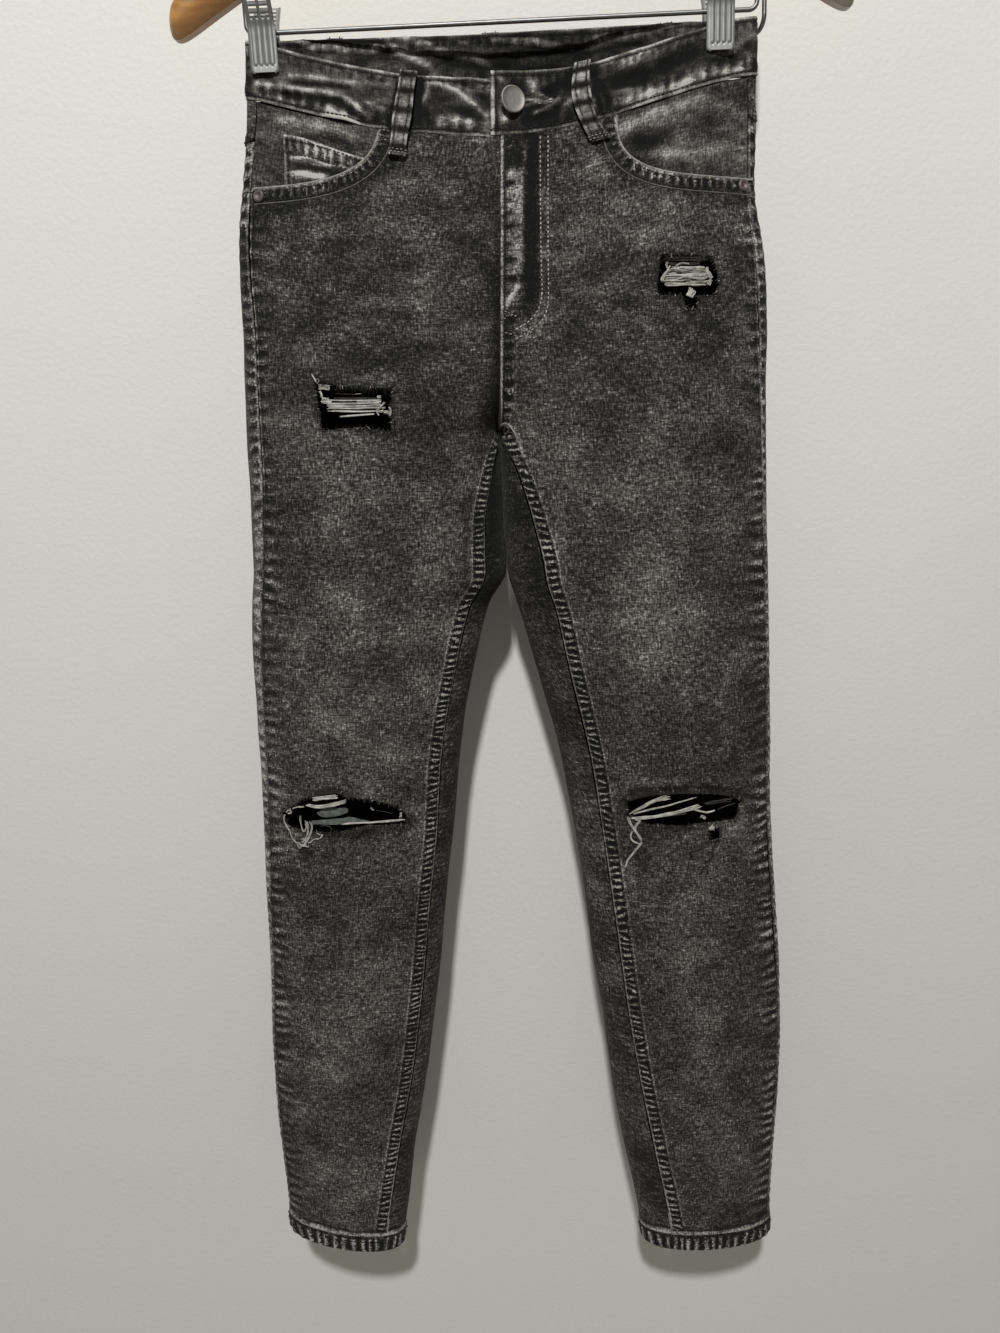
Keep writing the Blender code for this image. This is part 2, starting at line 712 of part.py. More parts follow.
def arc(centre_a, centre_b, radius, first, last, steps):
    angles = [math.radians(mix(first, last, i / steps)) for i in range(steps + 1)]
    return [(centre_a + radius * math.cos(a), centre_b + radius * math.sin(a)) for a in angles]


def wood_ring(x):
    """The arm's section at x: rounded on top, a sharp edge along the middle and hollowed under it."""
    half = WOOD_HALF_HEIGHT * math.sqrt(1 - (abs(x) / WOOD_HALF_SPAN) ** WOOD_TIP_POWER)
    thick = half / WOOD_HALF_HEIGHT * mix(WOOD_THICK_CENTRE, WOOD_THICK_TIP, abs(x) / WOOD_HALF_SPAN) / 2
    front = [(thick * y, half * z) for y, z in WOOD_SECTION]
    rear = [(-y, z) for y, z in reversed(front)]
    return [(x, y, wood_line(x) + z) for y, z in front + rear]


def build_wood():
    stations = [0.35] + list(range(1, WOOD_STEPS)) + [WOOD_STEPS - 0.35]
    rings = [wood_ring(-WOOD_HALF_SPAN * math.cos(math.pi * i / WOOD_STEPS)) for i in stations]
    mesh = lofted_mesh("hanger_wood", rings)
    wood = add_object("hanger_wood", mesh, material("hanger_wood", HONEY_WOOD, 0.4))
    wood.rotation_euler.y = -HANGER_TILT
    drill(wood, "hook_hole", 0.0, HOOK_END - HOLE_SPARE + HOLE_DEPTH / 2, HOOK_WIRE)
    wires = {"bar_left_hole": BAR_LEFT, "bar_right_hole": BAR_RIGHT, "end_wire_hole": END_WIRE_X}
    for name, x in wires.items():
        drill(wood, name, x, wire_end(x) + HOLE_SPARE - HOLE_DEPTH / 2, BAR_WIRE)


def wire_end(x):
    """Height of the end of a wire that goes up into the arm at x."""
    return wood_line(x) - WIRE_BELOW_LINE


def drill(target, name, x, z, wire_radius):
    """A round hole, a little wider than the wire that it takes, centred on (x, z) in the hanger's frame."""
    mesh = bmesh.new()
    radius = wire_radius + 2 * SEAM_GAP
    bmesh.ops.create_cone(mesh, cap_ends=True, segments=16, radius1=radius, radius2=radius, depth=HOLE_DEPTH)
    data = bpy.data.meshes.new(name)
    mesh.to_mesh(data)
    mesh.free()
    hole = add_object(name, data, CUTTER, "cutters")
    hole.location = tilted(x, 0, z)
    hole.rotation_euler.y = -HANGER_TILT
    cut(target, name, hole)


def build_hook():
    radius = HOOK_BORE + HOOK_WIRE
    loop = arc(0.0, -HOOK_BORE, radius, 215, -55, 26)
    end_x, end_z = loop[-1]
    neck = [(end_x * 0.45, end_z - 0.0065), (end_x * 0.10, end_z - 0.0130), (0.0, end_z - 0.0180)]
    points = [tilted(x, 0, z) for x, z in loop + neck + [(0.0, -0.0560), (0.0, HOOK_END)]]
    wire("hanger_hook", points, HOOK_WIRE, material("hook_chrome", CHROME, 0.2, 1.0))


def build_bar():
    """The trouser bar, turned up into the wood at both ends, and a thicker wire at its left end."""
    left = arc(BAR_LEFT + BAR_BEND, BAR_DROP + BAR_BEND, BAR_BEND, 180, 270, 6)
    right = arc(BAR_RIGHT - BAR_BEND, BAR_DROP + BAR_BEND, BAR_BEND, 270, 360, 6)
    route = [(BAR_LEFT, wire_end(BAR_LEFT))] + left + right + [(BAR_RIGHT, wire_end(BAR_RIGHT))]
    wire("hanger_bar", [tilted(x, 0, z) for x, z in route], BAR_WIRE, material("bar_steel", STEEL, 0.3, 1.0))
    drop = BAR_DROP - END_WIRE_BELOW
    curl = ((0.0, 0.0, drop + 0.0040), (0.0006, 0.0012, drop), (0.0022, 0.0040, drop - 0.0030),
            (0.0050, 0.0068, drop - 0.0045))
    points = [tilted(END_WIRE_X, 0, wire_end(END_WIRE_X))]
    points += [tilted(END_WIRE_X - inward, y, z) for inward, y, z in curl]
    wire("hanger_end_wire", points, BAR_WIRE, material("end_wire_steel", STEEL, 0.3, 1.0))


def clip_depth(x, back):
    """How far a clip's leaf stands from the hanger's plane to clear the waistband that it holds."""
    leg = "left" if x > 0 else "right"
    deepest = 0.0
    for side in (-0.5, 0.0, 0.5):
        for z in (JAW_DROP, mix(JAW_DROP, BAR_DROP, 0.4), mix(JAW_DROP, BAR_DROP, 0.8)):
            place = tilted(x + side * CLIP_WIDTH, 0, z)
            deepest = max(deepest, abs(spot(leg, place.x, place.z, back, BAND_PROUD).y))
    return deepest + SEAM_GAP + CLIP_WALL


def build_clips():
    for leg, x in CLIPS.items():
        for face, sign in (("front", -1), ("rear", 1)):
            jaw = clip_depth(x, face == "rear")
            profile = (
                (HANDLE_REACH, HANDLE_TOP),
                (mix(jaw, HANDLE_REACH, 0.5), BAR_DROP + 0.0125),
                (jaw + 0.0010, BAR_DROP + 0.0040),
                (jaw, BAR_DROP - 0.0040),
                (jaw, JAW_DROP),
            )
            edges = (x + CLIP_WIDTH / 2, x - CLIP_WIDTH / 2)
            rows = [[tilted(edge, sign * y, z) for edge in edges] for y, z in profile]
            finish = material(f"clip_steel_{leg}_{face}", STEEL, 0.35, 1.0)
            sheet(f"clip_{leg}_{face}", "right" if sign < 0 else "left", rows, CLIP_WALL, finish)
        w = SPRING_WIDTH / 2
        ring = ((SPRING_OUTER, w), (SPRING_OUTER, -w), (SPRING_INNER, -w), (SPRING_INNER, w))
        spring = turned(f"clip_{leg}_spring", ring, material(f"spring_steel_{leg}", STEEL, 0.3, 1.0), 20)
        spring.location = tilted(x, 0, BAR_DROP)
        spring.rotation_euler.y = math.pi / 2 - HANGER_TILT


def clear_scene():
    for old in list(bpy.data.objects):
        bpy.data.objects.remove(old)
    for name in ("ripped_jeans", "cutters"):
        collection = bpy.data.collections.new(name)
        bpy.context.scene.collection.children.link(collection)


clear_scene()
CUTTER = material("cutter", (0.8, 0.1, 0.1))
build_fronts()
build_backs()
build_yokes()
build_hems()
build_waistband()
build_loops()
build_facings()
build_coin_pocket()
build_back_pockets()
build_button()
build_rivets()
build_wood()
build_hook()
build_bar()
build_clips()
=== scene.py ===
import math

import bpy
import numpy as np
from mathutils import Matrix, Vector


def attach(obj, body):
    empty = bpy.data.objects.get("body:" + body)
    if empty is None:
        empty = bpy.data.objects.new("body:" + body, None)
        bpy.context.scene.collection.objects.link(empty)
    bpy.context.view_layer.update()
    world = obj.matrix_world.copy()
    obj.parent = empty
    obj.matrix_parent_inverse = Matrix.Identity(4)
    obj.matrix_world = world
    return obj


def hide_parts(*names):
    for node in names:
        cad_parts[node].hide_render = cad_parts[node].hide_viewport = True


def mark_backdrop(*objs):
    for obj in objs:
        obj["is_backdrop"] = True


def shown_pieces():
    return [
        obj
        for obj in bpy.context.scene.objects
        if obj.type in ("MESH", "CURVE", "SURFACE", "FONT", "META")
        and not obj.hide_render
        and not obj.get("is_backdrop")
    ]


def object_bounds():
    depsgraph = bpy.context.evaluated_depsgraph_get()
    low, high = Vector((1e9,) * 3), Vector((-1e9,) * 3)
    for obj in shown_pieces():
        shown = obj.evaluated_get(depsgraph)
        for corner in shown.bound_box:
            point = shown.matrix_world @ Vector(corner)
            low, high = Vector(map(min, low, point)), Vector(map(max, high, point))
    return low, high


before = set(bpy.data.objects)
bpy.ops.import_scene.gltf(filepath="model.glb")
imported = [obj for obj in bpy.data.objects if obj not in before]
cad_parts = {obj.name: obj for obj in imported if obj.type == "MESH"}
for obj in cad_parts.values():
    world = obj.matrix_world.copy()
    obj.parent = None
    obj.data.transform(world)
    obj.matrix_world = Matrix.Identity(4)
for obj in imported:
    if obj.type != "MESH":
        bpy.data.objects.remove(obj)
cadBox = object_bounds()
print("frame loaded:", len(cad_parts), "nodes")


# the studio: camera, wall, floor and lights

studio = {
    "cameraPlace": (0.0, -0.729, -0.417),
    "cameraTurn": (76.0, 0.0, 0.0),  # degrees, pitched 14 below level
    "lens": 27.2,
    "wallDepth": 0.06,
    "wallTone": (0.735, 0.735, 0.69),
    "wallShadedLow": (0.69, 0.69, 0.65),
    "floorLevel": -1.72,
    "floorTone": (0.5, 0.48, 0.44),
    "keyPlace": (-0.19, -1.9, 1.38),
    "keyAim": (0.0, 0.0, -0.6),
    "keySize": 0.15,
    "keyPower": 67.0,
    "backPlace": (0.5, 1.9, 0.5),
    "backPower": 26.0,
    "skyTone": (1.0, 0.93, 0.82),
    "skyPower": 0.12,
}


class Signal:
    # one output of a material's nodes; arithmetic on it adds Math nodes
    def __init__(self, finish, socket):
        self.finish, self.socket = finish, socket

    def maths(self, operation, *terms):
        return self.finish.node("ShaderNodeMath", {"operation": operation}, dict(enumerate(terms)))

    __add__ = __radd__ = lambda self, other: self.maths("ADD", self, other)
    __mul__ = __rmul__ = lambda self, other: self.maths("MULTIPLY", self, other)
    __sub__ = lambda self, other: self.maths("SUBTRACT", self, other)
    __rsub__ = lambda self, other: self.maths("SUBTRACT", other, self)

    def between(self, low, high):
        # 0 at low, 1 at high, eased
        settings = {"interpolation_type": "SMOOTHSTEP"}
        return self.finish.node("ShaderNodeMapRange", settings, {"Value": self, 1: low, 2: high})


class Finish:
    # a material on the bench: node() adds any node, settings first, and hands back one output
    def __init__(self, name, roughness=0.9, metallic=0.0):
        self.material = bpy.data.materials.new(name)
        self.material.use_nodes = True
        self.tree = self.material.node_tree
        self.shader = self.tree.nodes["Principled BSDF"]
        self.set("Roughness", roughness)
        self.set("Metallic", metallic)

    def plug(self, socket, value):
        if isinstance(value, Signal):
            self.tree.links.new(value.socket, socket)
        else:
            socket.default_value = (*value, 1) if socket.type == "RGBA" else value

    def set(self, name, value):
        self.plug(self.shader.inputs[name], value)

    def node(self, kind, settings=None, inputs=None, output=0):
        made = self.tree.nodes.new(kind)
        for name, value in (settings or {}).items():
            if name == "stops":
                ramp = made.color_ramp.elements
                while len(ramp) < len(value):
                    ramp.new(0.5)
                for stop, (place, tone) in zip(ramp, value):
                    stop.position, stop.color = place, (*tone, 1)
            else:
                setattr(made, name, value)
        for name, value in (inputs or {}).items():
            self.plug(made.inputs[name], value)
        return Signal(self, made.outputs[output])

    def place(self):
        return self.node("ShaderNodeTexCoord", output="Object")

    def attribute(self, name):
        return self.node("ShaderNodeAttribute", {"attribute_name": name}, output="Fac")

    def noise(self, place, size, detail=2.0, roughness=0.5):
        # size is one number or a width, height and depth of the noise's lumps, in metres
        sizes = size if isinstance(size, tuple) else (size,) * 3
        spread = self.node("ShaderNodeMapping", None, {"Vector": place, "Scale": tuple(1 / s for s in sizes)})
        inputs = {"Vector": spread, "Scale": 1.0, "Detail": detail, "Roughness": roughness}
        return self.node("ShaderNodeTexNoise", None, inputs)

    def blend(self, share, first, second):
        return self.node("ShaderNodeMix", {"data_type": "RGBA"}, {0: share, 6: first, 7: second}, 2)

    def mottled(self, pattern, tone, dark, low=0.35, high=0.65):
        # a tone that a pattern darkens to a share of itself
        return self.blend(pattern.between(low, high), tuple(dark * c for c in tone), tone)

    def relief(self, height, distance, strength=1.0):
        inputs = {"Strength": strength, "Distance": distance, "Height": height}
        self.set("Normal", self.node("ShaderNodeBump", None, inputs))


def addObject(name, data, material=None):
    if material:
        data.materials.append(material)
    made = bpy.data.objects.new(name, data)
    bpy.context.scene.collection.objects.link(made)
    return made


def flatPlane(name, corners, material):
    mesh = bpy.data.meshes.new(name)
    mesh.from_pydata(corners, [], [(0, 1, 2, 3)])
    return addObject(name, mesh, material)


def areaLight(name, place, aim, size, power):
    light = addObject(name, bpy.data.lights.new(name, "AREA"))
    light.data.size = size
    light.data.energy = power
    light.location = place
    light.rotation_euler = (Vector(aim) - Vector(place)).to_track_quat("-Z", "Y").to_euler()


def buildStudio():
    look, scene = studio, bpy.context.scene
    scene.view_settings.view_transform = "Standard"
    camera = scene.camera = addObject("camera", bpy.data.cameras.new("camera"))
    camera.data.lens = look["lens"]
    camera.data.sensor_width = 36.0
    camera.data.clip_start = 0.02
    camera.location = look["cameraPlace"]
    camera.rotation_euler = [math.radians(a) for a in look["cameraTurn"]]

    paint = Finish("wallPaint", 0.75)
    place = paint.place()
    upper = paint.mottled(paint.noise(place, 0.45, 3.0), look["wallTone"], 0.955)
    # painted shade: the wall darkens towards the bottom, where the lamp's light falls off
    z = paint.node("ShaderNodeSeparateXYZ", None, {"Vector": place}, "Z")
    paint.set("Base Color", paint.blend(z.between(-1.3, -0.35), look["wallShadedLow"], upper))
    paint.relief(paint.noise(place, 0.004, 4.0, 0.6), 0.0009, 0.5)
    behind = paint.node("ShaderNodeNewGeometry", output="Backfacing")
    painted = Signal(paint, paint.shader.outputs["BSDF"])
    clear = paint.node("ShaderNodeBsdfTransparent")
    shown = paint.node("ShaderNodeMixShader", None, {0: behind, 1: painted, 2: clear})
    paint.plug(paint.tree.nodes["Material Output"].inputs["Surface"], shown)

    y, low = look["wallDepth"], look["floorLevel"]
    wall = flatPlane("wall", [(-3, y, low), (3, y, low), (3, y, 2.2), (-3, y, 2.2)], paint.material)
    wall.visible_shadow = False  # the lamp behind it reaches the back of the jeans

    boards = Finish("floorPaint", 0.8)
    boards.set("Base Color", look["floorTone"])
    floor = flatPlane("floor", [(-4, -4, low), (4, -4, low), (4, 4, low), (-4, 4, low)], boards.material)
    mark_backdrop(wall, floor)

    areaLight("keyLight", look["keyPlace"], look["keyAim"], look["keySize"], look["keyPower"])
    areaLight("backLight", look["backPlace"], (0, 0, -0.55), 1.2, look["backPower"])
    scene.world = bpy.data.worlds.new("sky")
    scene.world.use_nodes = True
    sky = scene.world.node_tree.nodes["Background"].inputs
    sky["Color"].default_value = (*look["skyTone"], 1)
    sky["Strength"].default_value = look["skyPower"]
    print("studio ready")


# the skin that all the cloth follows: horizontal sections of the two legs, one tube above the crotch

garment = {
    "wall": 0.0011,
    "facingWall": 0.001,
    "bandWall": 0.0024,
    "loopWall": 0.0014,
    "hemWall": 0.0028,
    "gap": 0.0003,
    "inseamGap": 0.0005,
    "bandProud": 0.0005,
    "hemProud": 0.0006,
    "waistSeam": -0.2103,
    "bandHeight": 0.0346,
    "crotch": -0.43,
    "hemSeam": -1.082,
    "hemBottom": -1.101,
    "waistTilt": 0.0428,
    "frontDip": 0.0335,
    "backDip": -0.004,
    "dipPower": {"right": 1.25, "left": 1.8},
    "hemTilt": {"right": 0.0085, "left": 0.004},
    "yokeSide": 0.024,
    "yokeCentre": 0.05,
}
waist, crotch, gap = garment["waistSeam"], garment["crotch"], garment["gap"]

legs = ("right", "left")
# in millimetres: z and the depths in front and behind; then for each leg the x of its outer and inner side,
# and how far its inseam and side seam lie round the front
sectionRows = (
    (-160, 18, 17, -164, 164, 0, 7, 165, -165, 0, 7),
    (-217, 21, 22, -165.5, 165.5, 0, 7, 167.5, -167.5, 0, 6),
    (-265, 28, 32, -170.5, 170, 0, 6.5, 169, -169, 0, 5),
    (-315, 35, 43, -175.8, 160, 0, 8, 179, -162, 0, 8),
    (-367, 40, 50, -176.2, 100, 0, 11, 183.6, -100, 0, 7.5),
    (-400, 42, 52, -177, 36, 0, 12.5, 185, -36, 0, 6.5),
    (-430, 43, 53, -177.8, -0.5, 0, 13.5, 186.6, 0.5, 0, 5.7),
    (-455, 43, 53, -178, 1, 5, 13.8, 188.5, 1.5, 10, 5.5),
    (-490, 43, 52, -178, 2.5, 12, 12.5, 191, 3, 20, 5.3),
    (-525, 42, 50, -178.3, 4.5, 14, 11, 193.8, 5.5, 26, 5),
    (-550, 41, 48, -180.5, -8, 13, 10.5, 196.2, 13, 26, 5),
    (-594, 39, 44, -182.5, -17.9, 13, 9.5, 200.4, 25.3, 24, 4.8),
    (-656, 35, 39, -182.4, -28.9, 13, 8.2, 204.4, 43.3, 21.5, 4.6),
    (-722, 30, 33, -182.3, -34.9, 12, 6.5, 209.4, 56.6, 20.5, 4.2),
    (-789, 28, 30, -183.7, -42.8, 11.5, 4.5, 217, 68.1, 20, 3.6),
    (-860, 27, 31, -184.4, -50.2, 11, 3.5, 224.9, 78.5, 20.5, 3.3),
    (-934, 26, 30, -186, -58.7, 11.5, 3, 229.8, 90.1, 22, 3),
    (-1011, 24, 26, -184.2, -71, 12.5, 2.8, 230.7, 104, 24.5, 3),
    (-1051, 23, 24, -181.5, -75.5, 14.5, 2.6, 230.8, 112.8, 25, 3),
    (-1110, 23, 23, -179, -83.5, 15, 2.6, 232.5, 124.5, 25.5, 3),
)
formRows = (  # z in millimetres, the power of the section's curve, and its rim in millimetres
    (-160, 4, 3), (-217, 3.2, 3), (-245, 2, 3), (-290, 1.2, 2), (-350, 0.95, 0.5), (-430, 0.82, 0),
    (-600, 0.8, 0), (-720, 0.85, 0), (-1110, 0.8, 0),
)


def smoothReading(rows, column, drop):
    # one column of a table at the drops below the origin, eased without overshoot
    table = np.array(rows)
    level, value = table[:, 0] / -1000, table[:, column]
    rise = np.diff(value) / np.diff(level)
    before, after = rise[:-1], rise[1:]
    agree = before * after > 0
    bend = np.where(agree, 2 * before * after / np.where(agree, before + after, 1.0), 0.0)
    slope = np.concatenate([rise[:1], bend, rise[-1:]])
    at = np.clip(drop, level[0], level[-1])
    row = np.clip(np.searchsorted(level, at, side="right") - 1, 0, len(level) - 2)
    step = level[row + 1] - level[row]
    t = (at - level[row]) / step
    return (
        (2 * t**3 - 3 * t**2 + 1) * value[row]
        + (t**3 - 2 * t**2 + t) * slope[row] * step
        + (3 * t**2 - 2 * t**3) * value[row + 1]
        + (t**3 - t**2) * slope[row + 1] * step
    )


drops = np.linspace(0.1, 1.16, 2121)  # every half millimetre
sections = {leg: {} for leg in legs}
for column, name in enumerate(("front", "back", *("outer", "inner", "inseam", "side") * 2), 1):
    for leg in legs if column < 3 else legs[column > 6:][:1]:
        sections[leg][name] = smoothReading(sectionRows, column, drops) / 1000
forms = {"power": smoothReading(formRows, 1, drops), "rim": smoothReading(formRows, 2, drops) / 1000}


def section(leg, name, z):
    return np.interp(-np.asarray(z), drops, sections[leg][name])


def form(name, z):
    return np.interp(-np.asarray(z), drops, forms[name])


def mix(a, b, t):
    return a + (b - a) * t


def smooth(t):
    t = np.clip(t, 0.0, 1.0)
    return t * t * (3 - 2 * t)


def skin(leg, z, turn):
    # turn is 0 at a leg's inner end, 1 at its outer side round the front, 2 round the back
    z, turn = np.broadcast_arrays(np.asarray(z, float), np.asarray(turn, float))
    outer, inner = section(leg, "outer", z), section(leg, "inner", z)
    middle, half = (outer + inner) / 2, (outer - inner) / 2
    cosine, sine = np.cos(np.pi * turn), np.sin(np.pi * turn)
    power, rim = form("power", z), form("rim", z)
    fromEnd = np.abs(half) * (1 - np.abs(cosine))
    share = np.clip(fromEnd / np.maximum(rim, 1e-9), 0, 1)
    edge = np.sqrt(1 - (1 - share) ** 2)
    depth = np.where(sine >= 0, section(leg, "front", z), section(leg, "back", z))
    y = (depth - rim) * np.abs(sine) ** power + rim * edge
    return np.stack([middle - half * cosine, np.where(sine >= 0, -y, y), z], axis=-1)


def unit(vectors):
    return vectors / np.linalg.norm(vectors, axis=-1, keepdims=True)


def runAlong(points):
    # the length passed at each point of a path
    return np.r_[0, np.cumsum(np.linalg.norm(np.diff(points, axis=0), axis=1))]


def outward(leg, z, turn):
    along = skin(leg, z, turn + 0.004) - skin(leg, z, turn - 0.004)
    down = skin(leg, z - 0.001, turn) - skin(leg, z + 0.001, turn)
    return unit(np.cross(along, down) if leg == "right" else np.cross(down, along))


def height(leg, level, turn, x):
    # where the cloth's level lies at x: tilted with the hanger, sagging between the clips, aslant at the hems
    low, outer, inner = garment["hemBottom"], section(leg, "outer", level), section(leg, "inner", level)
    down = np.clip((level - low) / (waist - low), 0, 1)
    sag = np.maximum(0.0, 1 - (x / outer) ** 2) ** garment["dipPower"][leg]
    sag = sag * smooth((level - crotch) / (waist - crotch))
    dip = np.where(np.asarray(turn) % 2 <= 1, garment["frontDip"], garment["backDip"])
    aslant = smooth((-1.0 - level) / 0.07) * np.clip((2 * x - outer - inner) / (outer - inner), -1, 1)
    return level + garment["waistTilt"] * down * x + garment["hemTilt"][leg] * aslant - dip * sag


def heightAt(leg, level, turn):
    z = level
    for _ in range(3):
        z = height(leg, level, turn, skin(leg, z, turn)[..., 0])
    return z


def turnAt(leg, z, x, back=False):
    outer, inner = section(leg, "outer", z), section(leg, "inner", z)
    turn = np.arccos(np.clip((outer + inner - 2 * x) / (outer - inner), -1, 1)) / np.pi
    return 2 - turn if back else turn


def steppedTurn(leg, level, turn, gap):
    nudge = math.copysign(0.002, gap)
    z = heightAt(leg, level, turn)
    reach = np.linalg.norm(skin(leg, z, turn + nudge) - skin(leg, z, turn), axis=-1)
    return turn + nudge * abs(gap) / reach


def sideSeam(leg, level):
    turn = np.full(np.shape(level), 0.95)
    for _ in range(3):
        z = heightAt(leg, level, turn)
        half = np.abs(section(leg, "outer", z) - section(leg, "inner", z)) / 2
        turn = 1 - np.arccos(1 - section(leg, "side", z) / half) / np.pi
    return turn


def innerEdge(leg, level, back):
    # at the centre seam above the crotch, at the inseam below it
    aside = -gap if leg == "right" else gap
    above = turnAt(leg, height(leg, level, 1.5 if back else 0.5, 0.0), aside, back)
    half = np.abs(section(leg, "outer", level) - section(leg, "inner", level)) / 2
    wrap, room = np.arccos(1 - section(leg, "inseam", level) / half) / np.pi, garment["inseamGap"]
    below = steppedTurn(leg, level, 2 + wrap, -room) if back else steppedTurn(leg, level, wrap, room)
    return np.where(level > crotch, above, below)


def panelSpan(leg, level, back):
    seam, edge = sideSeam(leg, level), innerEdge(leg, level, back)
    if back:
        return steppedTurn(leg, level, seam, gap), edge
    return edge, steppedTurn(leg, level, seam, -gap)


def arcTable(leg, back, level):
    # shares of the way across a panel at each level, and the length of cloth up to each
    shares = np.linspace(0, 1, 141)
    first, last = panelSpan(leg, level, back)
    turn = mix(first[:, None], last[:, None], shares)
    rows = skin(leg, heightAt(leg, level[:, None], turn), turn)
    return shares, np.array([runAlong(row) for row in rows])


# lumps, strokes and puckers that the cloth's relief, wear and painted light and shade are made of

def bell(distance, width, centre=0.0):
    # 1 at the centre, dying away over the width, both in millimetres
    return np.exp(-(((distance * 1000 - centre) / width) ** 2))


def shelf(distance, start, full, level, end):
    # rises from start to full, stays, and falls from level to end, all in millimetres
    distance = distance * 1000
    return smooth((distance - start) / (full - start)) * (1 - smooth((distance - level) / (end - level)))


def lumpy(x, y, size, seed):
    # smooth lumps between -1 and 1, their size in millimetres
    lattice = np.random.default_rng(seed).uniform(-1, 1, (128, 128))
    u, v = np.asarray(x) / size * 1000 + 40.0, np.asarray(y) / size * 1000 + 40.0
    i, j = np.floor(u).astype(int), np.floor(v).astype(int)
    s, t = smooth(u - i), smooth(v - j)
    corner = lambda a, b: lattice[(i + a) % 128, (j + b) % 128]
    return mix(mix(corner(0, 0), corner(1, 0), s), mix(corner(0, 1), corner(1, 1), s), t)


def metres(path):
    # x and z of each point in turn, in millimetres
    return (np.reshape(path, (-1, 2)) / 1000).tolist()


def nearestOnPath(x, z, path):
    # distance to a path of (x, z) points, and the length along it of the nearest place
    best = np.full(np.shape(x), 1e9)
    place = np.zeros(np.shape(x))
    run = 0.0
    for (x0, z0), (x1, z1) in zip(path, path[1:]):
        length = math.hypot(x1 - x0, z1 - z0)
        share = np.clip(((x - x0) * (x1 - x0) + (z - z0) * (z1 - z0)) / length**2, 0, 1)
        distance = np.hypot(x - mix(x0, x1, share), z - mix(z0, z1, share))
        place = np.where(distance < best, run + share * length, place)
        best = np.minimum(best, distance)
        run += length
    return best, place, run


def strokes(x, z, table):
    # soft ridges and troughs, with worn patches, painted highlights on the ridges and painted shade in the
    # troughs: each row is x and z of its points in millimetres, then its width and height in tenths of a
    # millimetre and its change of tone in per cent
    lift, wear = np.zeros(np.shape(x)), np.zeros(np.shape(x))
    for *path, width, rise, tone in table:
        distance, place, run = nearestOnPath(x, z, metres(path))
        reach = width / 10000
        taper = smooth((place / reach + 1) / 2.5) * smooth(((run - place) / reach + 1) / 2.5)
        bump = bell(distance, width / 10) * taper
        lift += rise / 10000 * bump
        wear += tone / 100 * bump
    return lift, wear


def puckers(along, pitch, seed, uneven=0.25):
    # the count of puckers passed along a seam, unevenly spaced, and how strong each one is
    random = np.random.default_rng(seed)
    start = np.min(along) - pitch
    count = int((np.max(along) - start) / pitch / (1 - uneven)) + 4
    knots = start + np.cumsum(pitch * (1 + uneven * random.uniform(-1, 1, count)))
    phase = np.interp(along, knots, np.arange(count))
    strength = np.interp(phase, np.arange(count), random.uniform(0.35, 1.0, count))
    return phase, strength


# meshes

def settle(piece):
    # works the modifiers into a plain mesh
    graph = bpy.context.evaluated_depsgraph_get()
    mesh = bpy.data.meshes.new_from_object(piece.evaluated_get(graph), depsgraph=graph)
    piece.modifiers.clear()
    old, piece.data = piece.data, mesh
    bpy.data.meshes.remove(old)


def clothSheet(name, points, wall, material, uv, marks, flip=False, closed=False, keep=None, sharp=50,
               inside=None):
    # rows of points make a sheet, and a wall grows inwards; marks are numbers that the finish reads
    rows, columns = points.shape[:2]
    number = np.arange(rows * columns).reshape(rows, columns)
    if closed:
        number = np.hstack([number, number[:, :1]])
    a, b, c, d = number[:-1, :-1], number[:-1, 1:], number[1:, 1:], number[1:, :-1]
    faces = np.stack([a, b, c, d], axis=-1).reshape(-1, 4)
    grid = uv if closed else uv[:, :columns]
    corners = np.stack([grid[:-1, :-1], grid[:-1, 1:], grid[1:, 1:], grid[1:, :-1]], axis=2).reshape(-1, 4, 2)
    if keep is not None:
        faces, corners = faces[keep.ravel()], corners[keep.ravel()]
    if flip:
        faces, corners = faces[:, ::-1], corners[:, ::-1]
    used, faces = np.unique(faces, return_inverse=True)
    mesh = bpy.data.meshes.new(name)
    mesh.from_pydata(points.reshape(-1, 3)[used].tolist(), [], faces.reshape(-1, 4).tolist())
    mesh.uv_layers.new(name="cloth").data.foreach_set("uv", corners.ravel())
    for mark, values in zip(("wear", "puff", "rows"), marks):
        values = np.broadcast_to(values, (rows, columns)).reshape(-1)[used]
        mesh.attributes.new(mark, "FLOAT", "POINT").data.foreach_set("value", values.astype(np.float32))
    piece = addObject(name, mesh, material)
    shell = piece.modifiers.new("wall", "SOLIDIFY")
    shell.thickness = wall
    shell.offset = -1.0
    if inside:
        mesh.materials.append(inside)
        shell.material_offset = 1
    settle(piece)
    piece.data.shade_smooth()
    piece.data.set_sharp_from_angle(angle=math.radians(sharp))
    return piece


def insideLoop(x, z, loop):
    inside = np.zeros(np.shape(x), bool)
    for (x0, z0), (x1, z1) in zip(loop, loop[1:] + loop[:1]):
        if z0 != z1:
            crossing = x0 + (z - z0) / (z1 - z0) * (x1 - x0)
            inside ^= ((z0 > z) != (z1 > z)) & (x < crossing)
    return inside


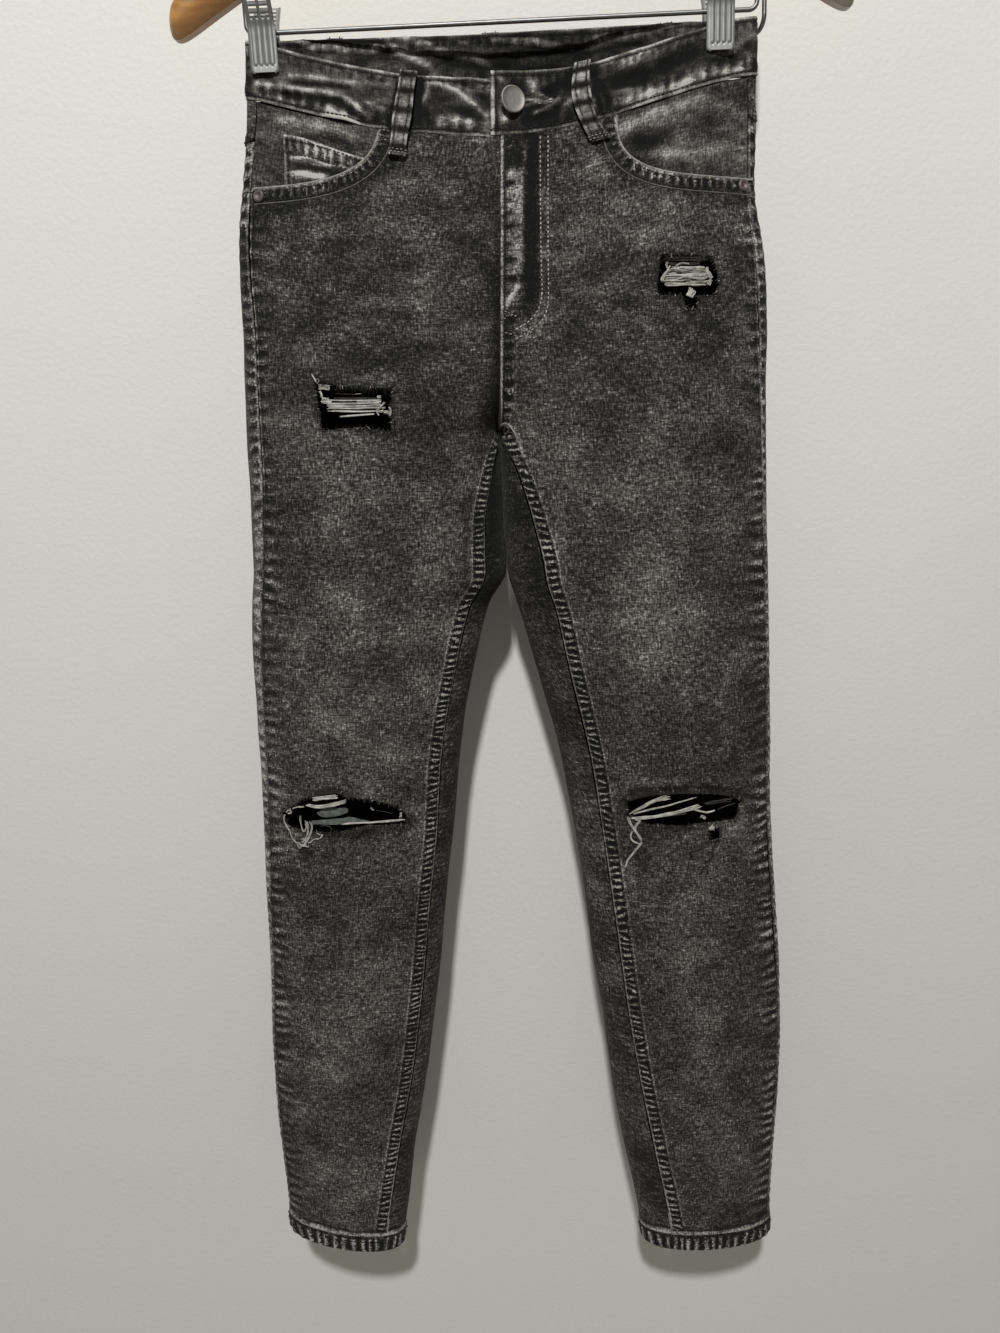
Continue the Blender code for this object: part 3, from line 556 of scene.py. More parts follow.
def cutHole(x, z, keep, loop):
    # drops the faces inside a loop and draws the ring of points about it onto the loop
    gone = insideLoop((x[:-1, :-1] + x[1:, 1:]) / 2, (z[:-1, :-1] + z[1:, 1:]) / 2, loop)
    touchGone, touchKept = np.zeros(x.shape, bool), np.zeros(x.shape, bool)
    for rows in (slice(0, -1), slice(1, None)):
        for columns in (slice(0, -1), slice(1, None)):
            touchGone[rows, columns] |= gone & keep
            touchKept[rows, columns] |= keep & ~gone
    keep &= ~gone
    ring = touchGone & touchKept
    path = np.array([*loop, loop[0]])
    _, place, _ = nearestOnPath(x[ring], z[ring], path)
    run = runAlong(path)
    x[ring], z[ring] = np.interp(place, run, path[:, 0]), np.interp(place, run, path[:, 1])


def raggedLoop(loop, reach, seed):
    # the same outline with short frayed steps
    random = np.random.default_rng(seed)
    ragged = []
    for (x0, z0), (x1, z1) in zip(loop, loop[1:] + loop[:1]):
        steps = max(1, int(math.hypot(x1 - x0, z1 - z0) / 0.0022))
        for i in range(steps):
            wander = random.uniform(-reach, reach, 2)
            ragged.append((mix(x0, x1, i / steps) + wander[0], mix(z0, z1, i / steps) + wander[1]))
    return ragged


# Geometry Nodes: stitches along paths, and strands of yarn or wire

class Growth:
    # a Geometry Nodes tree on the bench: add() makes a node, settings first, and hands back one output
    def __init__(self, name, sizes):
        self.tree = bpy.data.node_groups.new(name, "GeometryNodeTree")
        self.socket("Geometry", "Geometry")
        for label, value in sizes.items():
            self.socket(label, "Int" if isinstance(value, int) else "Float").default_value = value
        self.socket("Material", "Material")
        self.socket("Geometry", "Geometry", "OUTPUT")
        self.given = self.tree.nodes.new("NodeGroupInput").outputs
        self.curve = self.add("GeometryNodeMeshToCurve", {"Mesh": self.given["Geometry"]})

    def socket(self, label, kind, side="INPUT"):
        return self.tree.interface.new_socket(label, in_out=side, socket_type="NodeSocket" + kind)

    def add(self, kind, inputs=None, settings=None, output=0):
        made = self.tree.nodes.new(kind)
        for name, value in (settings or {}).items():
            setattr(made, name, value)
        for name, value in (inputs or {}).items():
            if isinstance(value, bpy.types.NodeSocket):
                self.tree.links.new(value, made.inputs[name])
            else:
                made.inputs[name].default_value = value
        return made.outputs[output]

    def ended(self, geometry):
        # real, smooth meshes in the given material
        for kind in ("GeometryNodeRealizeInstances", "GeometryNodeSetShadeSmooth"):
            geometry = self.add(kind, {"Geometry": geometry})
        inputs = {"Geometry": geometry, "Material": self.given["Material"]}
        geometry = self.add("GeometryNodeSetMaterial", inputs)
        self.tree.links.new(geometry, self.tree.nodes.new("NodeGroupOutput").inputs["Geometry"])
        return self.tree


def stitchTree():
    tree = Growth("stitchRows", {"Pitch": 0.0032, "Length": 0.0024, "Thickness": 0.0006, "Seed": 1})
    given, thick, turned = tree.given, tree.given["Thickness"], "FunctionNodeAlignRotationToVector"
    inputs = {"Curve": tree.curve, "Length": given["Pitch"]}
    spaced = tree.add("GeometryNodeResampleCurve", inputs, {"mode": "LENGTH"})
    bead = tree.add("GeometryNodeMeshUVSphere", {"Segments": 6, "Rings": 4, "Radius": 0.5})
    size = tree.add("ShaderNodeCombineXYZ", {"X": given["Length"], "Y": thick, "Z": thick})
    vary = tree.add("FunctionNodeRandomValue", {2: 0.8, 3: 1.15, "Seed": given["Seed"]}, output=1)
    scaled = tree.add("ShaderNodeVectorMath", {0: size, "Scale": vary}, {"operation": "SCALE"})
    up = tree.add("GeometryNodeInputNamedAttribute", {"Name": "up"}, {"data_type": "FLOAT_VECTOR"})
    along = tree.add(turned, {"Vector": tree.add("GeometryNodeInputTangent")}, {"axis": "X"})
    upright = tree.add(turned, {"Rotation": along, "Vector": up}, {"axis": "Z", "pivot_axis": "X"})
    inputs = {"Points": spaced, "Instance": bead, "Rotation": upright, "Scale": scaled}
    return tree.ended(tree.add("GeometryNodeInstanceOnPoints", inputs))


def strandTree():
    tree = Growth("strands", {"Radius": 0.0003, "Sides": 5})
    thick = tree.add("GeometryNodeInputNamedAttribute", {"Name": "thick"}, {"data_type": "FLOAT"})
    sizes = {"Resolution": tree.given["Sides"], "Radius": tree.given["Radius"]}
    ring = tree.add("GeometryNodeCurvePrimitiveCircle", sizes)
    inputs = {"Curve": tree.curve, "Profile Curve": ring, "Scale": thick, "Fill Caps": True}
    return tree.ended(tree.add("GeometryNodeCurveToMesh", inputs))


def grown(name, paths, extras, tree, settings):
    # paths become chains of edges, extras their numbers or vectors a point, and the tree grows on them
    points = np.vstack(paths)
    edges, start = [], 0
    for path in paths:
        edges.extend((start + i, start + i + 1) for i in range(len(path) - 1))
        start += len(path)
    mesh = bpy.data.meshes.new(name)
    mesh.from_pydata(points.tolist(), edges, [])
    for label, values in extras.items():
        values = np.concatenate(values)
        kind, key = ("FLOAT_VECTOR", "vector") if values.ndim == 2 else ("FLOAT", "value")
        mesh.attributes.new(label, kind, "POINT").data.foreach_set(key, values.astype(np.float32).ravel())
    piece = addObject(name, mesh, None)
    modifier = piece.modifiers.new(tree.name, "NODES")
    modifier.node_group = tree
    for item in tree.interface.items_tree:
        if item.in_out == "INPUT" and item.name in settings:
            modifier[item.identifier] = settings[item.name]
    settle(piece)
    return piece


def curved(points, step=0.0012):
    # a smooth curve through points, evenly stepped
    points = np.asarray(points, float)
    padded = np.vstack([2 * points[0] - points[1], points, 2 * points[-1] - points[-2]])
    pieces = []
    for a, b, c, d in zip(padded, padded[1:], padded[2:], padded[3:]):
        count = max(2, int(np.linalg.norm(c - b) / step) + 1)
        t = np.linspace(0, 1, count, endpoint=False)[:, None]
        square, cube = 2 * a - 5 * b + 4 * c - d, 3 * b - a - 3 * c + d
        pieces.append(b + ((c - a) * t + square * t**2 + cube * t**3) / 2)
    return np.vstack([*pieces, points[-1:]])


buildStudio()


# denim: washed charcoal twill whose worn tone, painted highlight and shade, puckers and grain come from the
# cloth's own marks

denimLook = {
    "grains": {  # size of the lumps in metres, then their detail and roughness
        "slub": ((0.0011, 0.0052, 1.0), 3.0, 0.62),
        "pick": ((0.0046, 0.001, 1.0), 2.0, 0.6),
        "speck": ((0.0017, 0.0017, 1.0), 2.0, 0.6),
        "crinkle": ((0.0075, 0.0028, 1.0), 4.0, 0.68),
        "cloud": ((0.024, 0.024, 1.0), 3.0, 0.55),
        "drift": ((0.075, 0.075, 1.0), 2.0),
    },
    "contrast": 3.4,
    "tones": (
        (0.0, (0.0045, 0.0045, 0.0046)),
        (0.22, (0.013, 0.0128, 0.0118)),
        (0.4, (0.033, 0.032, 0.0282)),
        (0.54, (0.066, 0.064, 0.056)),
        (0.7, (0.122, 0.1195, 0.107)),
        (0.86, (0.225, 0.22, 0.2)),
        (1.0, (0.43, 0.425, 0.395)),
    ),
}


def denimFinish(name, lightness, grain=1.0, lean=0.0):
    look = denimLook
    cloth = Finish(name, 0.93)
    cloth.set("Sheen Weight", 0.04)
    cloth.set("Sheen Roughness", 0.5)
    cloth.set("Specular IOR Level", 0.18)
    place = cloth.node("ShaderNodeUVMap", {"uv_map": "cloth"}, output="UV")
    slub, pick, speck, crinkle, cloud, drift = (cloth.noise(place, *size) for size in look["grains"].values())
    fine = slub * (0.4 - lean) + pick * (0.3 + lean) + speck * 0.3
    puff = cloth.attribute("puff")
    turns = (cloth.attribute("rows") + (speck - 0.5) * 0.8 + (crinkle - 0.5) * 0.9) * (2 * math.pi)
    bars = turns.maths("COSINE", turns)
    # wear lightens worn places and also carries painted highlights and painted shade; puff times bars
    # lightens pucker crests and darkens their troughs as painted shade
    tone = (
        lightness + cloth.attribute("wear") + puff * (bars - 0.15)
        + (fine - 0.5) * (look["contrast"] * grain)
        + (crinkle - 0.5) * (0.8 * grain) + (cloud - 0.5) * 0.62 + (drift - 0.5) * 0.48
    )
    ramp = cloth.node("ShaderNodeValToRGB", {"stops": look["tones"]}, {"Fac": tone}, "Color")
    cloth.set("Base Color", ramp)
    cloth.set("Roughness", 0.86 + fine * 0.14)
    cloth.relief(fine * 0.75 + crinkle * 0.5 + puff * bars * 0.8, 0.0012, 0.6)
    return cloth.material


denim = denimFinish("washedDenim", 0.425)
denimBand = denimFinish("waistbandDenim", 0.39, 0.48)
denimFacing = denimFinish("pocketDenim", 0.51, 0.7)
denimInside = denimFinish("insideDenim", 0.4, 0.55)
print("denim ready")


# the legs

legLook = {
    "frontRows": ((-0.2103, 0.00125), (-0.43, 0.003), (-0.66, 0.0018), (-0.77, 0.0032), (-1.05, 0.002)),
    "backRows": ((-0.2103, 0.0026), (-0.47, 0.0036), (-0.66, 0.0024), (-0.76, 0.0038), (-1.05, 0.0024)),
    "edgeColumns": (0.0, 0.0008, 0.0017, 0.0027, 0.0038, 0.005,
                    0.0063, 0.0077, 0.0091, 0.0104, 0.0119, 0.0137),
    "frontMiddle": 58,
    "backMiddle": 61,
    "inseamPitch": {"right": 0.0044, "left": 0.0054},
    "sidePitch": 0.0094,
    "flyBottom": -0.3686,
}

pocketMouths = {  # x and z of the rounded corner's centre, its width, depth and power
    "right": (-0.165, -0.225, 0.0874, 0.0465, 3.0),
    "left": (0.17, -0.222, 0.095, 0.0435, 4.0),
}

rips = {  # outlines in millimetres
    "thighRight": ("right", metres((-124, -389, -119.5, -395, -105, -398.5, -71, -399.5, -70.5, -410,
        -72.5, -428, -90, -424.5, -118.5, -427, -120.5, -410))),
    "thighLeft": ("left", metres((103.5, -316, 121, -315, 139, -316.5, 144, -332.5, 141.5, -340.5, 130,
        -341, 129, -349, 121.5, -349.5, 119.5, -341, 102, -341))),
    "kneeRight": ("right", metres((-163, -706, -156, -701, -140, -688, -127, -682, -119, -682, -112, -689,
        -92.5, -692.5, -75.5, -698, -69.5, -706, -69.5, -713.5, -99, -713, -119.5, -718.5, -139, -719.5,
        -158, -716.5))),
    "kneeLeft": ("left", metres((94.5, -705, 94, -692, 109.5, -686, 137.5, -683.5, 163, -685.5, 180,
        -692.5, 176.5, -710, 152.5, -711, 137.5, -713.5, 109, -712.5))),
    "kneeSmallLeft": ("left", metres((154.5, -715, 164, -714.5, 165, -725, 157, -726))),
}

# folds on the fronts: rows that rise carry a painted highlight, rows that sink are creases in painted shade;
# the strong dark rows about the knees are painted shade along the rips' edges
frontFolds = {
    "right": (
        (-54, -248.5, -47.5, -253.5, 40, 6, 16), (-39.5, -246, -29, -245, -8.5, -248, 14, 6, 22),
        (-12, -318, -6, -329, -2, -342, -1, -390, 50, -10, -16),
        (-1, -395, -4, -418, -10, -433, 70, -14, -24), (-145, -295, -105, -299, -70, -295, 45, 4, 5),
        (-130, -308, -80, -311, 40, -4, -5), (-110, -450, -115, -560, -112, -650, 220, 10, 9),
        (-70, -470, -80, -560, 120, -8, -4), (-35, -430, -30, -500, -45, -570, 90, 8, 4),
        (-135, -650, -130, -678, 60, 7, 5), (-150, -733, -135, -750, -138, -780, 60, -8, -5),
        (-90, -735, -110, -760, 70, 7, 4), (-130, -820, -135, -940, -140, -1020, 160, 7, 5),
        (-110, -900, -120, -1000, 90, -6, -3), (-165, -1045, -135, -1050, -115, -1046, 60, 6, 6),
        (-139, -720, -97.5, -721, -67, -714, 45, -6, -20), (-149, -732, -146, -743, 38, -3, -30),
        (-109, -724, -100, -717.5, -91.5, -715, 24, -4, -34), (-160, -722, -156, -728, 24, -3, -20),
        (-68, -708, -61, -715, 26, -3, -22),
    ),
    "left": (
        (35, -245, 48, -242, 16, 4, 16), (70, -256, 62, -261, 56, -264, 22, 4, 12),
        (90, -276, 120, -280, 150, -278, 30, 5, 10), (45, -300, 90, -304, 130, -301, 45, 4, 4),
        (32, -356, 22, -365, 11, -371, 20, 4, 12), (40, -352, 32, -360, 30, 3, 10),
        (60, -265, 110, -290, 160, -315, 380, 4, 12), (70, -430, 95, -620, 420, 4, 5),
        (100, -450, 105, -550, 115, -645, 220, 10, 9), (60, -460, 70, -540, 85, -620, 110, -8, -4),
        (145, -450, 150, -580, 130, -7, -3), (14, -425, 30, -438, 48, -442, 60, 9, 7),
        (10, -400, 35, -408, 50, -6, -5), (162, -728.5, 159.5, -740, 155, -749, 151, -755.5, 11, -7, -26),
        (160, -729, 156, -742, 151, -750, 40, 6, 5), (102, -765, 125, -768, 143.5, -765, 30, -7, -12),
        (105, -718, 130, -719, 148, -717, 28, -6, -16), (95.5, -681, 120, -678, 150, -678.5, 34, 5, 10),
        (95.5, -687, 118, -683, 150, -682, 180, -688, 22, -3, -30), (179.5, -690, 190, -692.5, 40, -3, -32),
        (182, -701, 190, -703, 28, -3, -20), (150, -830, 165, -940, 175, -1020, 160, 7, 5),
        (135, -890, 155, -990, 90, -6, -3), (150, -1050, 175, -1056, 210, -1048, 60, 6, 6),
    ),
}

# folds on the backs: painted highlights on the ridges, painted shade in the creases
backFolds = {
    "right": (
        (-140, -405, -90, -418, -40, -412, 110, 18, 7), (-145, -426, -95, -440, -45, -433, 70, -14, -8),
        (-130, -448, -85, -460, 80, 12, 5), (-30, -420, -18, -470, -30, -540, 80, 12, 4),
        (-100, -490, -105, -630, 240, 10, 8), (-160, -680, -120, -692, -65, -682, 60, 14, 8),
        (-155, -698, -115, -708, -65, -700, 45, -12, -10), (-150, -718, -110, -728, -70, -718, 55, 12, 7),
        (-140, -742, -100, -750, 60, -9, -6), (-125, -820, -135, -980, 170, 8, 6),
        (-160, -1040, -110, -1046, 60, 7, 6),
    ),
    "left": (
        (140, -395, 90, -410, 40, -408, 110, 17, 7), (150, -416, 95, -432, 50, -428, 70, -14, -8),
        (135, -440, 80, -454, 80, 12, 5), (35, -420, 25, -470, 42, -540, 80, 12, 4),
        (105, -480, 125, -630, 240, 10, 8), (185, -670, 140, -686, 85, -678, 60, 14, 8),
        (180, -690, 135, -702, 85, -695, 45, -12, -10), (175, -710, 130, -722, 90, -714, 55, 12, 7),
        (165, -734, 125, -745, 60, -9, -6), (150, -810, 175, -980, 170, 8, 6),
        (205, -1035, 150, -1042, 60, 7, 6),
    ),
}


def mouthCurve(leg, steps=40):
    x, z, width, depth, power = pocketMouths[leg]
    out = math.copysign(1.0, x)
    curve = []
    for i in range(steps + 1):
        angle = i / steps * math.pi / 2
        run, drop = math.sin(angle) ** (2 / power), math.cos(angle) ** (2 / power)
        curve.append((x - out * width * run, z - depth * drop))
    return curve


def mouthLoop(leg):
    x, out = pocketMouths[leg][0], math.copysign(1.0, pocketMouths[leg][0])
    curve = mouthCurve(leg)
    inner, top = curve[-1][0], waist + 0.05
    return [(x + out * 0.03, curve[0][1])] + curve + [(inner, top), (x + out * 0.03, top)]


def seamRelief(leg, back, x, z, level, inner, outer):
    # what the seams and folds do to a leg's cloth: its lift, its wear with painted highlight and shade,
    # puckers and how many have passed
    right = leg == "right"
    seed = (1 if right else 2) + (10 if back else 0)
    hip, low = smooth((level - crotch) / 0.09), smooth((-0.44 - level) / 0.06)
    below = smooth((crotch + 0.004 - level) / 0.008)
    lift, wear = strokes(x, z, (backFolds if back else frontFolds)[leg])
    lift += 0.001 * lumpy(x, z, 75, seed) + 0.00035 * lumpy(x, z, 26, seed + 30)
    lift += 0.00022 * hip * lumpy(x / 3.2, z, 8.5, seed + 60)
    wear += 0.05 * lumpy(x, z, 45, seed + 90) + 0.11 * hip * lumpy(x / 2.2, z, 7.2, seed + 61)
    wear += 0.09 * bell(outer, 22, 6) * lumpy(x / 2.5, z, 6, seed + 62)
    wear += 0.03 * low - 0.07 * hip if right else -0.05 * hip

    # side seam: the back's strip, which faces away from the lamp, is lightened below the hips as painted
    # light; the front has a light worn line and a dark line of painted shade in the seam's groove
    phase, strength = puckers(level, legLook["sidePitch"], seed + 5, 0.32)
    rows = phase + lumpy(outer, level, 20, seed + 7) * 0.3
    if back:
        envelope = shelf(outer, 0.6, 2, 6, 15)
        puff = (0.62 - 0.2 * low) * envelope * strength
        wear += (0.03 + 0.28 * low) * envelope + (0.36 - 0.2 * low) * bell(outer, 0.9, 0.6)
    else:
        envelope = bell(outer, 6 + 5 * low, 3)
        puff = (0.5 + (0.05 if right else 0.35) * low) * envelope * strength ** 1.5
        wear += (0.5 - 0.4 * low) * bell(outer, 0.9, 1.4) - 0.16 * bell(outer, 1, 3.4)
        wear -= (0.45 + 0.25 * low) * bell(outer, 0.8 + 0.5 * low, 0.4 * low)
    lift += 0.00045 * envelope * strength * np.cos(2 * np.pi * rows) - 0.0009 * bell(outer, 1)

    # inseam, from the crotch down
    phase, strength = puckers(level, legLook["inseamPitch"][leg], seed + 8, 0.3)
    nearInner = inner < outer
    if back:
        band = shelf(inner, 0.4, 2, 7, 12) * below
        puff = np.where(nearInner, 0.13 * band * strength, puff)
        # painted shade on the back's inner strip, deepest just below the crotch
        shade = (0.1 if right else 0.04) + (0.34 if right else 0.26) * smooth((level + 0.575) / 0.04)
        wear -= below * smooth(1 - inner / 0.05) * (shade - 0.1 * lumpy(x / 1.4, z, 11, seed + 64))
    else:
        band = shelf(inner, 1, 2.2, 8.4, 9.6) * below
        puff = np.where(nearInner, 0.98 * band * (0.5 + 0.5 * strength), puff)
        # light worn seam edges, with darker lines beside the stitches as painted shade in their grooves, and
        # a darker band between them
        wear += below * (0.62 * bell(inner, 0.9, 1) + 0.32 * bell(inner, 1, 10.6)
                         - 0.26 * bell(inner, 0.5, 2.2) - 0.24 * bell(inner, 0.6, 9.2)) - 0.2 * band
        phase = phase + lumpy(level, 0.3, 5.5, seed + 9) * (inner - 0.0055) / 0.0085
        lift += below * (0.0008 * shelf(inner, 0.2, 1.2, 8.8, 10.4) - 0.0003 * bell(inner, 0.7, 10.3))
    rows = np.where(nearInner, phase, rows)
    lift -= 0.0007 * bell(inner, 0.8) * below

    # centre seam above the crotch
    above = 1 - below
    if back:
        felled = shelf(inner, 0, 0.8, 7, 8.5) * above * (0.4 if right else 1)
        lift += 0.0007 * felled - 0.0006 * bell(inner, 0.6) * above
        puff = np.where(nearInner & (above > 0), puff + 0.16 * felled * strength, puff)
        wear += above * (0.2 * bell(inner, 0.7, 0.8) + 0.1 * bell(inner, 0.8, 9))
    elif right:
        # painted shade in the fold beside the fly
        wear -= above * 0.2 * bell(inner, 3.5) * smooth((-0.25 - level) / 0.05)
        lift -= 0.0008 * above * bell(inner, 1.5)
    return lift, wear, puff, rows


crotchArch = ((-0.001, -0.4245), (0.004, -0.4222), (0.0085, -0.426), (0.012, -0.433), (0.0168, -0.446))


def archRelief(x, z, lift, wear, puff, rows):
    # the inseam's seam turns over the crotch on the left front
    xs, zs = zip(*crotchArch)
    distance, place, _ = nearestOnPath(x, z, crotchArch)
    under = (z < np.interp(x, xs, zs)) & (z > -0.4475)
    phase, strength = puckers(place, 0.005, 88, 0.25)
    band = shelf(distance, 1.2, 2.2, 7.2, 8.8) * under
    inside = under & (distance < 0.01)
    fade = smooth((z + 0.4475) / 0.004)
    # light worn edges, with a darker band under the arch and painted shade in the groove beside its stitches
    wear = np.where(inside, mix(wear, -0.2 * band - 0.26 * bell(distance, 0.5, 1.2), fade), wear)
    wear = wear + fade * (0.6 * bell(distance, 1, 0.2) + 0.3 * bell(distance, 0.9, 8.4) * under)
    puff = np.where(inside, 0.98 * band * (0.5 + 0.5 * strength), puff)
    rows = np.where(inside, phase + 0.6 * (distance - 0.0045) / 0.009, rows)
    lift += 0.0007 * fade * shelf(distance, -1, 0, 8, 9.5) * (under | (distance < 0.001))
    return lift, wear, puff, rows


# fly folds: worn streaks and painted highlights on ridges, dark puckers and creases in painted shade
flyFolds = (
    (16.5, -249, 16, -258, 15, -268, 13, 7, 60), (4.5, -251.5, 7.5, -251, 9, 3, 50),
    (4.5, -269, 9, -266.5, 15, 5, 44), (3.5, -274.5, 9, -273.5, 15, -6, -75),
    (3.5, -284, 8.5, -284, 14, -5, -60), (3.5, -292, 8, -292, 13, -5, -60),
    (3.5, -300, 9.5, -300, 17, -7, -85), (3.5, -311, 7.5, -311, 13, -4, -45),
    (4, -320.5, 9, -321, 24, -7, -85), (4, -332, 12.5, -332, 30, -8, -85),
    (14, -270, 14, -300, 13, -328, 8, 4, 20), (13, -334.5, 8, -341.5, 4, -348, 18, 9, 70),
    (16, -329, 11.5, -337, 16, -6, -34), (30.5, -287, 30.5, -290, 14, 2, 20),
    (30, -313, 30, -318, 14, 2, 24), (30, -328.5, 30, -330, 10, 2, 20), (25, -350, 23, -356, 14, 5, 26),
    (16.5, -360, 14, -366, 14, 5, 30), (21.5, -353, 16, -356, 26, -5, -36),
    (18, -346, 11, -353, 5, -359, 32, -5, -26), (6, -365, 6, -380, 30, -4, -16),
    (5, -356, 10, -356.5, 18, 2, -40),
)


def flyRelief(x, z, level, inner, lift, wear, puff, rows):
    # the left front's fly: a light worn ridge broken by dark puckers, a hollow in painted shade and the
    # stitched curve
    above = smooth((level - crotch) / 0.006)
    fly = smooth((z - legLook["flyBottom"] + 0.004) / 0.012) * above
    narrow = above * (1 - fly)
    ridge = shelf(inner, 3, 5, 12, 15.8) * smooth((-0.262 - z) / 0.009) * smooth((z + 0.34) / 0.006)
    lift += above * (0.0009 * shelf(inner, 0, 1, 10, 16) - 0.0007 * bell(inner, 0.6))
    lift += fly * (0.0016 * ridge - 0.0011 * shelf(x, 15, 17.8, 21.5, 25.6))
    hollow = shelf(x, 13.5, 18, 22.5, 26.2) * smooth((z + 0.356) / 0.014)
    panelTop = shelf(inner, 2.4, 4, 12, 17) * smooth((z + 0.27) / 0.012)
    beside = shelf(x, 25.5, 26.5, 30, 31.2) * smooth((z + 0.285) / 0.03)
    wear += fly * 0.46 * ridge * (0.725 + 0.275 * lumpy(x * 0.3, z, 12, 78))
    # painted shade in the hollow beside the ridge, at the panel's top under the band and beside the stitch
    # rows
    wear -= fly * (0.5 * hollow + 0.3 * panelTop + 0.16 * beside)
    wear += above * (0.6 * bell(inner, 1, 1) - 0.3 * bell(inner, 0.6, 2.8))
    wear += narrow * (0.2 * bell(inner, 1, 10) - 0.1 * shelf(inner, 2, 3, 7, 9))
    zone = shelf(inner, 2.4, 4, 8.5, 10.5) * narrow
    near = (inner < 0.0165) & (above > 0.5)
    phase, strength = puckers(level, 0.0086, 77, 0.38)
    puff = np.where(near, 0.55 * zone * strength, puff * (1 - zone))
    bump, tone = strokes(x, z, flyFolds)
    return lift + bump * above, wear + tone * above, puff, np.where(near, phase, rows)


def mouthRelief(leg, x, z, lift, wear, puff, rows):
    # the turned and twice stitched edge of a front pocket's mouth
    distance, place, _ = nearestOnPath(x, z, mouthCurve(leg))
    phase, strength = puckers(place, 0.0052, 40 if leg == "right" else 41, 0.25)
    near = distance < 0.012
    band = shelf(distance, 2.2, 3.2, 7, 8.2)
    puff = np.where(near, 0.55 * band * strength, puff)
    rows = np.where(near, phase, rows)
    lift += 0.0007 * shelf(distance, 0, 1.2, 7.8, 9.6) - 0.0006 * bell(distance, 0.7)
    lift += 0.0003 * band * strength * np.cos(2 * np.pi * rows)
    lift -= 0.0004 * (bell(distance, 0.6, 2.4) + bell(distance, 0.6, 8.4))
    wear += 0.5 * bell(distance, 1.2, 0.6) - 0.2 * bell(distance, 1.2, 8.8) - 0.18 * bell(distance, 3, 13.5)
    return lift, wear - 0.1 * band, puff, rows


def ripRelief(leg, x, z, lift, wear):
    # cloth curls outwards along the edges of the rips, a little darker at the edge as painted shade and a
    # little lighter six millimetres out
    for side, loop in rips.values():
        if side != leg:
            continue
        near = np.hypot(x - np.mean([p[0] for p in loop]), z - np.mean([p[1] for p in loop])) < 0.075
        distance = np.full(x.shape, 1.0)
        distance[near] = nearestOnPath(x[near], z[near], loop + loop[:1])[0]
        lift += 0.0009 * bell(distance, 2.8) + 0.0005 * bell(distance, 9)
        wear += 0.05 * bell(distance, 5, 6) - 0.05 * bell(distance, 3.5)
    return lift, wear


def legRelief(leg, back, x, z, level, inner, outer):
    lift, wear, puff, rows = seamRelief(leg, back, x, z, level, inner, outer)
    if not back:
        if leg == "left":
            lift, wear, puff, rows = flyRelief(x, z, level, inner, lift, wear, puff, rows)
            lift, wear, puff, rows = archRelief(x, z, lift, wear, puff, rows)
        lift, wear, puff, rows = mouthRelief(leg, x, z, lift, wear, puff, rows)
        lift, wear = ripRelief(leg, x, z, lift, wear)
    up = level - garment["hemSeam"]  # the hem pulls the cloth above it into short ropes
    lift += 0.0006 * bell(up, 6) * lumpy(x, z * 0.3, 9, 55) - 0.0006 * bell(up, 1)
    wear += 0.16 * bell(up, 11) * lumpy(x, z * 0.3, 6.5, 56) - 0.34 * bell(up, 2.4)
    return lift, wear, puff, rows


def yokeLevel(across):
    return waist - mix(garment["yokeSide"], garment["yokeCentre"], across)


def legLevels(back):
    # the rows of a panel: each stretch starts at a level and has its own step
    stretches = legLook["backRows" if back else "frontRows"]
    ends = [level for level, _ in stretches[1:]] + [garment["hemSeam"] + gap]
    rows = [np.linspace(level, end, round((level - end) / step), endpoint=False)
            for (level, step), end in zip(stretches, ends)]
    return np.append(np.concatenate(rows), ends[-1])


def columnPlaces(width, middle):
    # where a panel's columns lie across it: close together at both edges, even between them
    edge = np.array(legLook["edgeColumns"])
    between = edge[-1] + (width[:, None] - 2 * edge[-1]) * np.linspace(0, 1, middle + 2)[1:-1]
    return np.hstack([np.broadcast_to(edge, (len(width), len(edge))), between, width[:, None] - edge[::-1]])


def layPanel(leg, back, levels, middle, topLevel, bottomLevel=None):
    # turns, heights and distances from the edges for a grid of places on a leg's panel
    shares, arcs = arcTable(leg, back, levels)
    width = arcs[:, -1]
    inner = columnPlaces(width, middle)
    across = np.array([np.interp(d, a, shares) for d, a in zip(inner, arcs)])
    down = levels[:, None]
    if bottomLevel:
        lies = mix(topLevel(across), bottomLevel(across), (down - down[0]) / (down[-1] - down[0]))
    else:
        below = np.clip((down - waist) / (crotch - waist), None, 1.0)
        lies = np.where(down > crotch, mix(topLevel(across), crotch, below), down)
    turn = mix(*panelSpan(leg, lies, back), across)
    outer = width[:, None] - inner
    if back:  # a back is laid from its side seam inwards
        inner, outer = outer, inner
    return {"turn": turn, "z": heightAt(leg, lies, turn), "level": lies, "inner": inner, "outer": outer}


def panelUV(panel, levels, offset):
    across = offset - panel["outer"]
    return np.stack([across, levels[:, None] + 0 * across], axis=-1)


cloth = {}
grids = {}  # each sheet's outer points and outward directions, where stitches and yarn are laid


def lay(name, points, normal, wall, material, uv, marks, flip=False, **options):
    grids[name] = (points, normal)
    cloth[name] = clothSheet(f"cloth_{name}", points, wall, material, uv, marks, flip, **options)
    return cloth[name]


def dress(name, leg, z, turn, out, wall, material, uv, marks, **options):
    # a sheet that lies on the skin, out from it
    normal = outward(leg, z, turn)
    points = skin(leg, z, turn) + normal * np.broadcast_to(out, np.shape(z))[..., None]
    return lay(name, points, normal, wall, material, uv, marks, leg == "left", **options)


